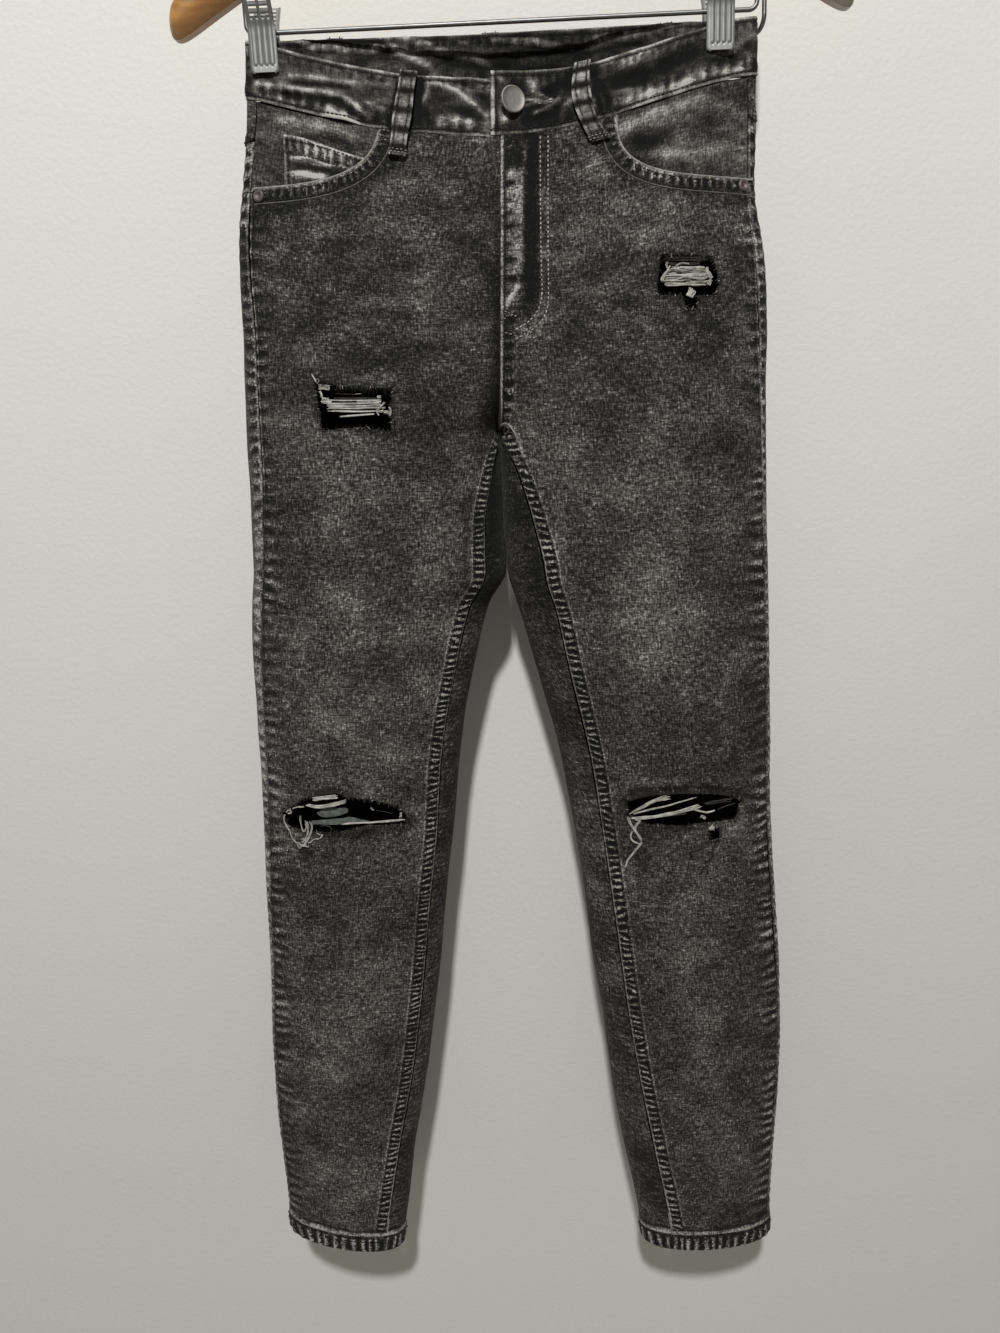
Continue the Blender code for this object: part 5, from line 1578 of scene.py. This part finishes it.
def bundle(owner, path, strands, spread, thick=1.0, tone="pale", out=0.0006, fan=(1.0, 1.0), ragged=0.1):
    # yarns that follow one path side by side
    random = np.random.default_rng(round(abs(path[0][0] * 7 + path[0][1] * 3 + path[-1][1]) * 1e6))
    place, face = layOn(owner, curved(path, 0.0013), out)
    run = np.linspace(0, 1, len(place))
    aside = np.cross(face, unit(np.gradient(place, axis=0)))
    for number in range(strands):
        offset = 0.0 if strands == 1 else 2 * number / (strands - 1) - 1
        wave = np.interp(run, np.linspace(0, 1, 7), random.uniform(-1, 1, 7))
        rise = np.interp(run, np.linspace(0, 1, 7), random.uniform(-1, 1, 7))
        sway = 0.85 * spread * (offset + 0.3 * wave + random.uniform(-0.2, 0.2)) * mix(fan[0], fan[1], run)
        line = place + aside * sway[:, None] + face * (rise * 0.0004 + random.uniform(0, 0.0004))[:, None]
        use = (run >= random.uniform(0, ragged)) & (run <= 1 - random.uniform(0, ragged))
        if use.sum() < 3:
            continue
        size = 0.88 * thick * random.uniform(0.7, 1.15) * (1 - 0.45 * np.abs(2 * run[use] - 1) ** 4)
        yarns.setdefault((owner, tone), []).append((line[use], size))


yarnBundles = {  # x and z in millimetres; count; spread, thickness, way out and widths at the ends in tenths
    ("front_right", "pale"): (
        ((-124.5, -389.5, -123, -392.5, -120.5, -397), 2, 3, 9, 6),
        ((-121, -399, -116, -399, -111, -400), 6, 16, 10, 2, 10, 8),
        ((-119.5, -400.5, -118, -403.5, -118, -406.5), 3, 5, 9, 4),
        ((-119, -406, -112, -406.5), 3, 5, 10, 0, 10, 6), ((-82, -405.5, -77, -405), 4, 7, 10, 3, 6, 10),
        ((-96.5, -403.5, -90.5, -403), 1, 1, 8, 0), ((-119.5, -408, -110, -408.5), 3, 5, 10, 3, 10, 6),
        ((-95.5, -408, -77, -408), 3, 5, 11, 3, 5, 10), ((-119, -407, -100, -407.5, -77, -407), 2, 2, 10, 2),
        ((-119, -409, -106, -409.5, -76, -409), 2, 2, 11, 4),
        ((-118, -410.5, -100, -411, -75, -410.5), 3, 4, 11, 5, 11, 10),
        ((-117, -412.5, -95, -412.5, -73, -412), 3, 3, 11, 6, 12, 10),
        ((-115, -414, -95, -414.5, -72, -414), 3, 3, 11, 6, 12, 10),
        ((-107, -418, -95, -417, -82, -416), 3, 4, 11, 4, 6, 10),
        ((-78, -415, -71.5, -415.5), 4, 9, 10, 4, 7, 10),
        ((-75, -408, -79, -412, -81, -415, -79, -418), 2, 3, 9, 14),
        ((-81, -410, -77.5, -412, -78, -415, -81, -414, -82, -411), 1, 2, 9, 16),
        ((-73.5, -410.5, -72, -414, -73, -418.5), 3, 6, 9, 10),
        ((-139.5, -692.5, -129, -690.5, -118.5, -689.5), 9, 16, 12, 0, 9, 8),
        ((-155, -701, -150, -699, -144, -698.5), 3, 4, 11, 2, 5, 10),
        ((-145, -697, -133, -698, -121, -695, -112, -692), 7, 10, 12, 4, 9, 12),
        ((-119.5, -712, -103, -710.5, -69.5, -709.5), 5, 7, 12, 0, 3, 11),
        ((-73, -702, -74, -705, -74, -708), 5, 10, 10, 6, 5, 11),
        ((-96, -697.5, -94.5, -700, -92.5, -701), 3, 4, 9, 0, 10, 4),
        ((-159.5, -705, -157, -702, -155, -703, -156, -705, -159, -704.5), 3, 4, 9, 12),
        ((-159, -704, -161, -708.5, -160.5, -713.5, -157.5, -719, -156, -725.5, -152, -730, -149, -732), 2,
            3, 12, 10),
        ((-148.5, -705, -148.5, -712.5, -146.5, -718.5, -144.5, -715, -146, -711), 2, 3, 8, 8),
        ((-145, -708.5, -143, -714, -144, -722, -149, -729.5), 3, 5, 11, 10, 10, 12),
        ((-142, -709, -140, -715, -143.5, -724.5, -148, -731), 3, 5, 11, 12, 10, 12),
        ((-137, -718, -134.5, -720.5, -132, -721, -135, -724, -139, -725, -142.5, -728, -146, -727), 2, 2,
            9, 10),
        ((-150, -726.5, -147, -725, -145, -728, -147.5, -731, -150.5, -729.5, -150, -726), 3, 4, 10, 14),
        ((-153, -728, -150.5, -733, -148, -730, -144, -731.5, -142.5, -729), 2, 4, 10, 13),
    ),
    ("front_right", "dim"): (
        ((-110, -403, -96.5, -403.5, -90, -403), 1, 2, 7, -4),
        ((-112, -406, -95, -406, -80, -406), 2, 4, 8, -4), ((-111, -408.5, -94.5, -408), 2, 4, 8, 0),
        ((-92.5, -701, -87, -702, -78, -704.5), 1, 2, 8, -2),
        ((-136, -714, -130, -713, -126, -714, -125, -717, -126, -719), 1, 2, 8, 12),
        ((-101, -713, -106, -719, -108.5, -723), 3, 12, 7, 6, 6, 12),
    ),
    ("front_left", "pale"): (
        ((111, -326, 108.5, -324, 108, -321.5, 110, -320.5), 2, 4, 9, 12),
        ((113, -323.5, 118, -321, 124, -321.5), 2, 3, 8, 12),
        ((106, -328.5, 112, -325, 121, -326, 128, -323), 2, 3, 9, 14),
        ((112, -333, 120, -329.5, 131, -330.5, 139, -328), 2, 3, 9, 14),
        ((125, -335, 124, -338.5, 122.5, -342.5), 8, 22, 12, 6, 6, 9),
        ((127.5, -337, 126, -340, 124, -343), 4, 10, 11, 10, 10, 8),
        ((138.5, -330, 137, -332.5, 136, -335), 5, 10, 10, 10, 10, 12),
        ((134.5, -322, 136, -326.5, 139, -331), 5, 12, 10, 9, 7, 11),
        ((111, -322, 109, -325.5, 106, -330, 104, -333.5), 4, 10, 9, 10, 4, 12),
        ((95, -705, 105.5, -698.5, 116, -692, 126.5, -689), 7, 13, 11, 5, 3, 13),
        ((95.5, -705.5, 111.5, -700.5, 129.5, -695, 147, -689), 3, 4, 11, 3, 10, 7),
        ((96, -708, 110, -706.5, 128, -703, 140.5, -699, 150, -696), 9, 14, 12, 6, 6, 11),
        ((141.5, -699, 147, -701, 153, -702.5, 160.5, -701), 4, 6, 11, 5, 10, 7),
        ((147.5, -705, 150.5, -706, 153, -708), 4, 10, 9, 8),
        ((151, -706, 152, -707.5, 150, -704.5), 3, 8, 8, 8),
        ((155.5, -717, 157, -714, 159, -712), 6, 14, 10, 10),
        ((154.5, -715, 157.5, -715, 160, -716), 4, 10, 9, 12),
        ((95, -705, 96, -708.5, 98, -713, 102.5, -720, 107, -727), 6, 12, 11, 10, 8, 7),
        ((107, -726, 104, -731, 100, -737, 96.5, -743, 95, -750), 6, 12, 11, 12, 9, 3),
        ((105, -708, 102.5, -711.5, 101, -715, 101, -718.5), 4, 8, 11, 10, 10, 8),
        ((100, -716.5, 98, -721.5, 99.5, -726, 106, -729), 3, 5, 9, 11),
        ((100, -707, 102, -708, 104.5, -708), 6, 14, 9, 8),
    ),
    ("front_left", "dim"): (
        ((105, -317.5, 120, -318, 137, -317), 5, 13, 9, -4),
        ((106, -320.5, 118, -321.5, 133, -320), 3, 7, 9, -2),
        ((118, -705, 130, -704, 139, -703), 4, 8, 9, 2), ((160, -701.5, 167, -699, 176, -696.5), 2, 4, 8, 2),
        ((150, -696, 160, -694.5, 174, -693), 4, 12, 8, 2, 6, 12),
    ),
}
# the worn rolls of the pocket mouths' edges
for leg in legs:
    for distance, tone, size in ((0.0005, "worn", 2.2), (0.0103, "edge", 1.3)):
        line = offsetPath(curved(mouthCurve(leg), 0.0016), distance)[2:-3]
        line = line[line[:, 1] < height(leg, waist - 0.0006, 0.5, line[:, 0])]
        place, _ = layOn(f"front_{leg}", line, 0.0001)
        yarns.setdefault((f"front_{leg}", tone), []).append((place, np.full(len(place), size)))

place, _ = layOn("front_left", curved(crotchArch[:4], 0.0012)[2:], 0.0003)
yarns["front_left", "worn"].append((place, np.full(len(place), 1.6)))

for (owner, tone), rows in yarnBundles.items():
    for path, count, spread, thick, out, *fan in rows:
        fan = np.array(fan or (10, 10)) / 10
        bundle(owner, metres(path), count, spread / 1e4, thick / 10, tone, out / 1e4, fan)

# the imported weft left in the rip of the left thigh
random = np.random.default_rng(71)
for share in np.linspace(0, 1, 19):
    z = mix(-0.3228, -0.3344, share)
    left = np.interp(-z, (0.3236, 0.3271, 0.3332, 0.336), (0.1105, 0.1066, 0.1042, 0.1085))
    right = np.interp(-z, (0.3222, 0.3316, 0.3344, 0.336), (0.1345, 0.1384, 0.1362, 0.13))
    rise = 0.0013 * (1 - 0.4 * share)
    cut = random.uniform(0.25, 0.75)
    stops = ((0.0, cut - 0.03), (cut + 0.03, 1.0)) if random.random() < 0.35 else ((0.0, 1.0),)
    for first, last in stops:
        path = [(mix(left, right, t), z - rise / 2 + rise * t + random.uniform(-0.0003, 0.0003))
                for t in np.linspace(first, last, 5)]
        tone = random.choice(("pale", "pale", "light", "grey"))
        thick, out = random.uniform(0.75, 1.0), random.uniform(-0.0003, 0.0008)
        bundle("front_left", path, 2, 0.0002, thick, tone, out, ragged=0.12)


# flap_high and flap_left are dark sheets of painted shade inside the knee rips; the other two are grey inner
# cloth
flaps = {  # upper and lower edges and how deep, in millimetres, and the finish's tone
    "flap_oval": ("front_right", (-137, -705, -130, -700.5, -114, -700, -113, -703), (-136.5, -705.5, -132,
        -708, -121.5, -706.5, -113, -703.5), -3, "lining"),
    "flap_low": ("front_right", (-141, -711, -117.5, -708, -111, -707, -97, -710), (-141, -713.5, -120,
        -713, -110, -712, -96.5, -711), -2, "lining"),
    "flap_high": ("front_right", (-141, -686.5, -125.5, -681, -118, -681, -111, -689), (-140, -690, -130,
        -688, -118.5, -687, -110.5, -691.5), -0.8, "brown"),
    "flap_left": ("front_left", (94, -690, 111, -684.5, 138, -682, 164, -684, 180, -691.5), (95, -694, 111,
        -689, 138, -687, 164, -689, 178.5, -694.5), -1, "brown"),
}


def buildFlap(name, owner, high, low, out, tone):
    high, low = (curved(metres(path), 0.0008) for path in (high, low))
    share = np.linspace(0, 1, 40)
    high, low = (np.stack([np.interp(share, np.linspace(0, 1, len(p)), p[:, k]) for k in (0, 1)], axis=1)
                 for p in (high, low))
    flat = mix(high[None], low[None], np.linspace(0, 1, 9)[:, None, None])
    place, face = layOn(owner, flat.reshape(-1, 2), out / 1000)
    place = place + face * (0.0006 * lumpy(place[:, 0], place[:, 2], 4, 1200))[:, None]
    uv = flat - flat.min(axis=(0, 1))
    leftward = flat[0, -1, 0] <= flat[0, 0, 0]
    return clothSheet(name, place.reshape(9, 40, 3), 0.0008, threadTones[tone], uv, (), leftward)


for name, (owner, high, low, out, tone) in flaps.items():
    threads.append((buildFlap(name, owner, high, low, out, tone), owner))


def fuzz(owner, loop, tone, every, reach, seed, part=None, sag=0.5, out=0.0004, wander=0.5):
    # short hairs from a rip's edge into its hole; part keeps those roots that it says yes to
    random = np.random.default_rng(seed)
    centre = np.mean(loop, axis=0)
    roots, ways = [], []
    for start, stop in zip(np.array(loop), np.array(loop[1:] + loop[:1])):
        length = np.linalg.norm(stop - start)
        inward = np.array([stop[1] - start[1], start[0] - stop[0]]) / length
        inward *= np.sign(np.dot(centre - (start + stop) / 2, inward))
        for share in random.uniform(0, 1, max(1, int(length / every))):
            root = mix(start, stop, share)
            if part is None or part(*root):
                roots.append(root - inward * 0.0006)
                ways.append(inward)
    if not roots:
        return
    place, face = layOn(owner, roots, out)
    for spot, way, normal in zip(place, ways, face):
        long = random.uniform(*reach)
        aim = np.array([way[0], 0.0, way[1]]) + random.uniform(-wander, wander, 3) * (1, 0.4, 1) - (0, 0, sag)
        aim = unit(aim)
        bend = random.uniform(-0.35, 0.35, 3) * (1, 0.3, 1)
        t = np.linspace(0, 1, 4)[:, None]
        line = spot + long * (aim * t + bend * t**2 + normal * 0.08 * t)
        yarns.setdefault((owner, tone), []).append((line, np.array([0.62, 0.55, 0.45, 0.25])))


for number, (name, (side, loop)) in enumerate(rips.items()):
    owner = f"front_{side}"
    fuzz(owner, loop, "black", 0.00085, (0.001, 0.0032), 40 + number, sag=0.2)
    fuzz(owner, loop, "dim", 0.0024, (0.0012, 0.0034), 60 + number)
    fuzz(owner, loop, "pale", 0.011, (0.001, 0.0028), 80 + number)
for name, tone, every, reach, seed, part, sag, out in (
    ("thighRight", "black", 0.00042, (0.002, 0.0058), 90, lambda x, z: z > -0.402, 1.4, 0.0),
    ("thighLeft", "black", 0.0005, (0.0015, 0.0042), 91, lambda x, z: z > -0.318, 1.4, 0.0),
    ("kneeLeft", "black", 0.0006, (0.0015, 0.004), 92, lambda x, z: z > -0.695, 1.2, 0.0),
    ("kneeRight", "dim", 0.004, (0.003, 0.008), 93, lambda x, z: z < -0.712, 1.5, 0.0008),
):
    side, loop = rips[name]
    fuzz(f"front_{side}", loop, tone, every, reach, seed, part, sag, out)

strands = strandTree()
for number, ((owner, tone), lines) in enumerate(yarns.items()):
    paths, thick = zip(*lines)
    piece = grown(f"yarn_{tone}_{owner}", paths, {"thick": thick}, strands, {
        "Radius": 0.00026 if tone == "black" else 0.00034, "Sides": 3 if tone in ("dim", "black") else 6,
        "Material": threadTones[tone]})
    threads.append((piece, owner))
print("yarn laid:", sum(len(p.data.polygons) for p, _ in threads), "faces of thread and yarn")


# metal and wood

def metalFinish(name, tone, roughness, metallic=1.0, brushed=(0.0008, 0.0008, 0.012)):
    metal = Finish(name, roughness, metallic)
    streaks = metal.noise(metal.place(), brushed, 2.0, 0.6)
    metal.set("Base Color", metal.mottled(streaks, tone, 0.84, 0.3, 0.7))
    metal.set("Roughness", roughness + (streaks - 0.5) * 0.16)
    metal.relief(streaks, 0.00012, 0.4)
    return metal.material


buttonMetal = metalFinish("buttonMetal", (0.33, 0.318, 0.29), 0.62)
rivetMetal = metalFinish("rivetMetal", (0.2, 0.16, 0.145), 0.6, 0.75)
hookMetal = metalFinish("hookMetal", (0.45, 0.45, 0.44), 0.28)
barMetal = metalFinish("barMetal", (0.21, 0.215, 0.21), 0.46, 1.0, (0.012, 0.0008, 0.0008))
clipMetal = metalFinish("clipMetal", (0.31, 0.316, 0.304), 0.6, 0.85)

woodLook = {
    "honey": (0.56, 0.3, 0.09),
    "dark": (0.27, 0.118, 0.036),
    "tip": (0.3, 0.265, 0.22),
}


def woodFinish():
    look = woodLook
    wood = Finish("honeyWood", 0.4)
    place = wood.place()
    grain = wood.noise(place, (0.09, 0.003, 0.003), 4.0, 0.55)
    bands = wood.noise(place, (0.24, 0.012, 0.012), 2.0)
    tone = wood.blend((grain * 0.6 + bands * 0.4).between(0.25, 0.75), look["dark"], look["honey"])
    x = wood.node("ShaderNodeSeparateXYZ", None, {"Vector": place}, "X")
    ends = x.maths("ABSOLUTE", x).between(0.2035, 0.216)
    # painted shade: the downward-facing half of the arm is darkened towards the dark grain tone. The tips'
    # undersides are also turned greyer.
    low = wood.attribute("under").between(0.05, 0.45)
    tone = wood.blend(low * 0.62, tone, look["dark"])
    wood.set("Base Color", wood.blend(ends * low * 0.85, tone, look["tip"]))
    wood.relief(grain, 0.0002, 0.3)
    wood.set("Coat Weight", 0.25)
    wood.set("Coat Roughness", 0.25)
    return wood.material


hangerLook = {
    "tilt": math.radians(2.5),
    "bore": 0.018,
    "hookWire": 0.00175,
    "hookEnd": -0.07,
    "woodCentre": -0.0755,
    "woodDrop": 0.0905,
    "halfSpan": 0.2195,
    "halfHeight": 0.013,
    "thick": (0.015, 0.023),  # at the centre and the tips
    "section": ((0.5, 1), (0.75, 0.92), (0.88, 0.7), (1, 0.05), (0.92, -0.3), (0.68, -0.72), (0.35, -1)),
    "barDrop": -0.1712,
    "barWire": 0.0015,
    "barEnds": (-0.1707, 0.1575),
    "barBend": 0.005,
    "endWire": 0.1622,
}


def tilted(points):
    points = np.asarray(points, float)
    cosine, sine = math.cos(hangerLook["tilt"]), math.sin(hangerLook["tilt"])
    x, y, z = points[..., 0], points[..., 1], points[..., 2]
    return np.stack([x * cosine - z * sine, y, x * sine + z * cosine], axis=-1)


def ringBody(name, rings, material, sharp=40):
    # a closed body through rings of points, capped flat at both ends
    rings = np.asarray(rings)
    rows, columns = rings.shape[:2]
    number = np.arange(rows * columns).reshape(rows, columns)
    after = np.roll(number, -1, axis=1)
    faces = np.stack([number[:-1], after[:-1], after[1:], number[1:]], axis=-1).reshape(-1, 4).tolist()
    faces += [number[0][::-1].tolist(), number[-1].tolist()]
    mesh = bpy.data.meshes.new(name)
    mesh.from_pydata(rings.reshape(-1, 3).tolist(), [], faces)
    body = addObject(name, mesh, material)
    volume = sum(f.center.dot(f.normal) * f.area for f in mesh.polygons)
    if volume < 0:
        mesh.flip_normals()
    mesh.shade_smooth()
    mesh.set_sharp_from_angle(angle=math.radians(sharp))
    return body


def turnedBody(name, profile, foot, way, material, steps=48):
    # a profile of (radius, height) turned about the line from foot along way
    way = unit(np.asarray(way))
    aside = unit(np.cross(way, (1.0, 0.0, 0.0)))
    other = np.cross(way, aside)
    angles = np.linspace(0, 2 * np.pi, steps, endpoint=False)[:, None]
    circle = np.cos(angles) * aside + np.sin(angles) * other
    rings = [foot + max(r, 1e-5) * circle + h * way for r, h in profile]
    return ringBody(name, rings, material, 30)


def wireBody(name, points, radius, material, sides=14):
    line = np.asarray(points, float)
    sizes = {"Radius": radius, "Sides": sides, "Material": material}
    return grown(name, [line], {"thick": [np.ones(len(line))]}, strands, sizes)


def woodLine(x):
    look = hangerLook
    return look["woodCentre"] - look["woodDrop"] * (np.abs(x) / look["halfSpan"]) ** 1.5


def bend(centre, radius, first, last, steps=12):
    angles = np.radians(np.linspace(first, last, steps + 1))
    return [(centre[0] + radius * math.cos(a), 0.0, centre[1] + radius * math.sin(a)) for a in angles]


def buildHanger():
    look = hangerLook
    span = look["halfSpan"]
    places = np.r_[0.25, 0.55, 0.9, np.arange(1.4, 71, 0.7), 71.1, 71.45, 71.75] / 72
    rings = []
    for x in -span * np.cos(np.pi * places):
        half = look["halfHeight"] * math.sqrt(1 - (abs(x) / span) ** 50)
        thick = half / look["halfHeight"] * mix(*look["thick"], abs(x) / span) / 2
        front = [(thick * y, half * z) for y, z in look["section"]]
        rings.append([(x, y, woodLine(x) + z) for y, z in front + [(-y, z) for y, z in reversed(front)]])
    wood = ringBody("wood_arm", tilted(rings), woodFinish(), 28)
    # the finish reads this as painted shade on the arm's underside
    under = wood.data.attributes.new("under", "FLOAT", "POINT")  # how far each point faces down
    under.data.foreach_set("value", [-v.normal.z for v in wood.data.vertices])
    made = {"hanger_wood": wood}
    radius = look["bore"] + look["hookWire"]
    loop = bend((0.0, -look["bore"]), radius, 215, -55, 44)
    x, _, z = loop[-1]
    neck = curved([loop[-1], (x * 0.45, 0, z - 0.0065), (x * 0.1, 0, z - 0.013), (0, 0, z - 0.018),
                   (0, 0, -0.056)], 0.0015)
    route = np.vstack([loop[:-1], neck, [(0, 0, look["hookEnd"])]])
    made["hanger_hook"] = wireBody("hook_wire", tilted(route), look["hookWire"], hookMetal)
    left, right = look["barEnds"]
    low, turn = look["barDrop"], look["barBend"]
    route = [(left, 0, woodLine(left) - 0.006)] + bend((left + turn, low + turn), turn, 180, 270)
    route += [(x, 0, low) for x in np.linspace(left + 0.01, right - 0.01, 12)]
    route += bend((right - turn, low + turn), turn, 270, 360) + [(right, 0, woodLine(right) - 0.006)]
    made["hanger_bar"] = wireBody("bar_wire", tilted(route), look["barWire"], barMetal)
    drop = low - 0.008
    end = look["endWire"]
    curl = [(end, 0, woodLine(end) - 0.006), (end, 0, drop + 0.01), (end, 0, drop + 0.004),
            (end - 0.0006, 0.0012, drop), (end - 0.0022, 0.004, drop - 0.003),
            (end - 0.005, 0.0068, drop - 0.0045)]
    made["hanger_end_wire"] = wireBody("end_wire", tilted(curved(curl, 0.001)), look["barWire"], barMetal)
    return made


clipLook = {
    "places": {"right": -0.16, "left": 0.1328},
    "width": 0.017,
    "wall": 0.001,
    "jaw": -0.1958,
    "handle": (0.02, -0.15),
    "rows": 84,
    "columns": 49,
    "grooves": 4,
    "groovePitch": 0.0036,
    "groove": (3.6, 31),  # millimetres above the leaf's foot
    "slots": (0.0334, 0.0374, 0.0414, 0.0454),
    "slotHalf": 0.001,
}


def buildLeaf(leg, face):
    look, drop = clipLook, hangerLook["barDrop"]
    sign = -1 if face == "front" else 1
    node = bpy.data.objects[f"clip_{leg}_{face}"]
    low = min(corner[2] for corner in node.bound_box) + 0.0015
    jaw = max(abs(v.co.y) for v in node.data.vertices if v.co.z < low)  # clear of the band, as in the CAD
    reach, top = look["handle"]
    foot, belowBar = look["jaw"], drop - 0.004
    profile = curved([(reach, top), (mix(jaw, reach, 0.5), drop + 0.0125), (jaw + 0.001, drop + 0.004),
                      (jaw, belowBar), (jaw, mix(belowBar, foot, 0.5)), (jaw, foot)], 0.0004)
    run = runAlong(profile)
    marks = np.linspace(run[-1], 0, look["rows"])
    for slot in look["slots"]:
        for edge in (slot - look["slotHalf"], slot + look["slotHalf"]):
            marks[np.argmin(np.abs(marks - edge))] = edge
    line = np.stack([np.interp(run[-1] - marks, run, profile[:, k]) for k in (0, 1)], axis=1)
    along = unit(np.gradient(line, axis=0))
    half, above = look["width"] / 2, marks[:, None]
    across = np.linspace(-half, half, look["columns"])
    corner = 0.0016 * (1 - np.sqrt(1 - (1 - np.clip(above / 0.0016, 0, 1)) ** 2))
    x = across * (half - corner) / half
    lift = -0.0006 * smooth((np.abs(across) - half + 0.0014) / 0.0014) ** 1.5
    foot, head = look["groove"]
    for groove in range(look["grooves"]):
        away = across - (groove - (look["grooves"] - 1) / 2) * look["groovePitch"]
        ridge = 0.00055 * bell(away, 0.75) - 0.00035 * bell(away, 0.5, 1.6)
        lift = lift + ridge * shelf(above, foot, foot + 1, head - 1, head)
        for end in (foot, head + 0.3):
            lift -= 0.0008 * bell(np.hypot(away, above - end / 1000), 0.55)
    keep = np.ones((look["rows"] - 1, look["columns"] - 1), bool)
    cellX, cellUp = (across[:-1] + across[1:]) / 2, (above[:-1] + above[1:]) / 2
    for slot in look["slots"]:
        keep &= (np.abs(cellUp - slot) >= look["slotHalf"]) | (np.abs(np.abs(cellX) - 0.0036) >= 0.0025)
        lift += 0.0007 * bell(above - slot, 0.9, 1.7) * (np.abs(np.abs(across) - 0.0036) < 0.0027)
    y, z = sign * (line[:, :1] - along[:, 1:] * lift), line[:, 1:] + along[:, :1] * lift
    points = tilted(np.stack([look["places"][leg] + x + 0 * y, y, z], axis=-1))
    uv = np.stack(np.broadcast_arrays(across, above), axis=-1)
    name = f"clip_leaf_{leg}_{face}"
    return clothSheet(name, points, look["wall"], clipMetal, uv, (), sign > 0, keep=keep, sharp=35)


def buildMetal():
    made = buildHanger()
    for leg in clipLook["places"]:
        for face in ("front", "rear"):
            made[f"clip_{leg}_{face}"] = buildLeaf(leg, face)
    profile = [(share * 0.0083, up) for share, up in (
        (0, 0.0034), (0.5, 0.00345), (0.8, 0.0036), (0.9, 0.004), (0.96, 0.0039), (1, 0.0032),
        (0.985, 0.0025), (0.93, 0.0019), (0.42, 0.0017), (0.36, 0.0004), (0.42, 0), (0, 0))]
    z = -0.2236
    turn = turnAt("left", z, 0.007)
    way = outward("left", z, turn)
    foot = skin("left", z, turn) + way * (garment["bandProud"] + gap + 0.0001)
    made["button"] = turnedBody("jeans_button", profile, foot, way + np.array((0.4, 0, 0.02)), buttonMetal)
    profile = [(share * 0.004, up) for share, up in (
        (0, 0.0003), (0.3, 0.0004), (0.45, 0.0008), (0.6, 0.0014), (0.78, 0.0014), (0.93, 0.0009),
        (1, 0.0003), (1, 0), (0, 0))]
    for leg, x, z in (("right", -0.1585, -0.277), ("left", 0.16, -0.27)):
        turn = turnAt(leg, z, x)
        way = outward(leg, z, turn)
        foot = skin(leg, z, turn) + way * 0.0008
        made[f"rivet_{leg}"] = turnedBody(f"copper_rivet_{leg}", profile, foot, way, rivetMetal, 28)
    return made


metalPieces = buildMetal()
metalPieces["hanger_wood"].visible_shadow = False  # the real one lies against the wall, so it throws none
for name, piece in metalPieces.items():
    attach(piece, "root")
    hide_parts(name)
for leg in legs:
    spring = bpy.data.objects[f"clip_{leg}_spring"]
    spring.data.materials.clear()
    spring.data.materials.append(clipMetal)
print("metal and wood ready")


# the cloth and its thread join the root body; the triangles are counted and the shown pieces' bounds measured


for name, piece in cloth.items():
    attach(piece, "root")
    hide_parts(name)
    sewn = [part for part, owner in threads if owner == name]
    for part in sewn:
        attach(part, "root")

total = sum(len(p.vertices) - 2 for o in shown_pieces() if o.type == "MESH" for p in o.data.polygons)
print("triangles in all:", total)

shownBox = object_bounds()
({"cad": [list(corner) for corner in cadBox],
           "shown": [list(corner) for corner in shownBox]})
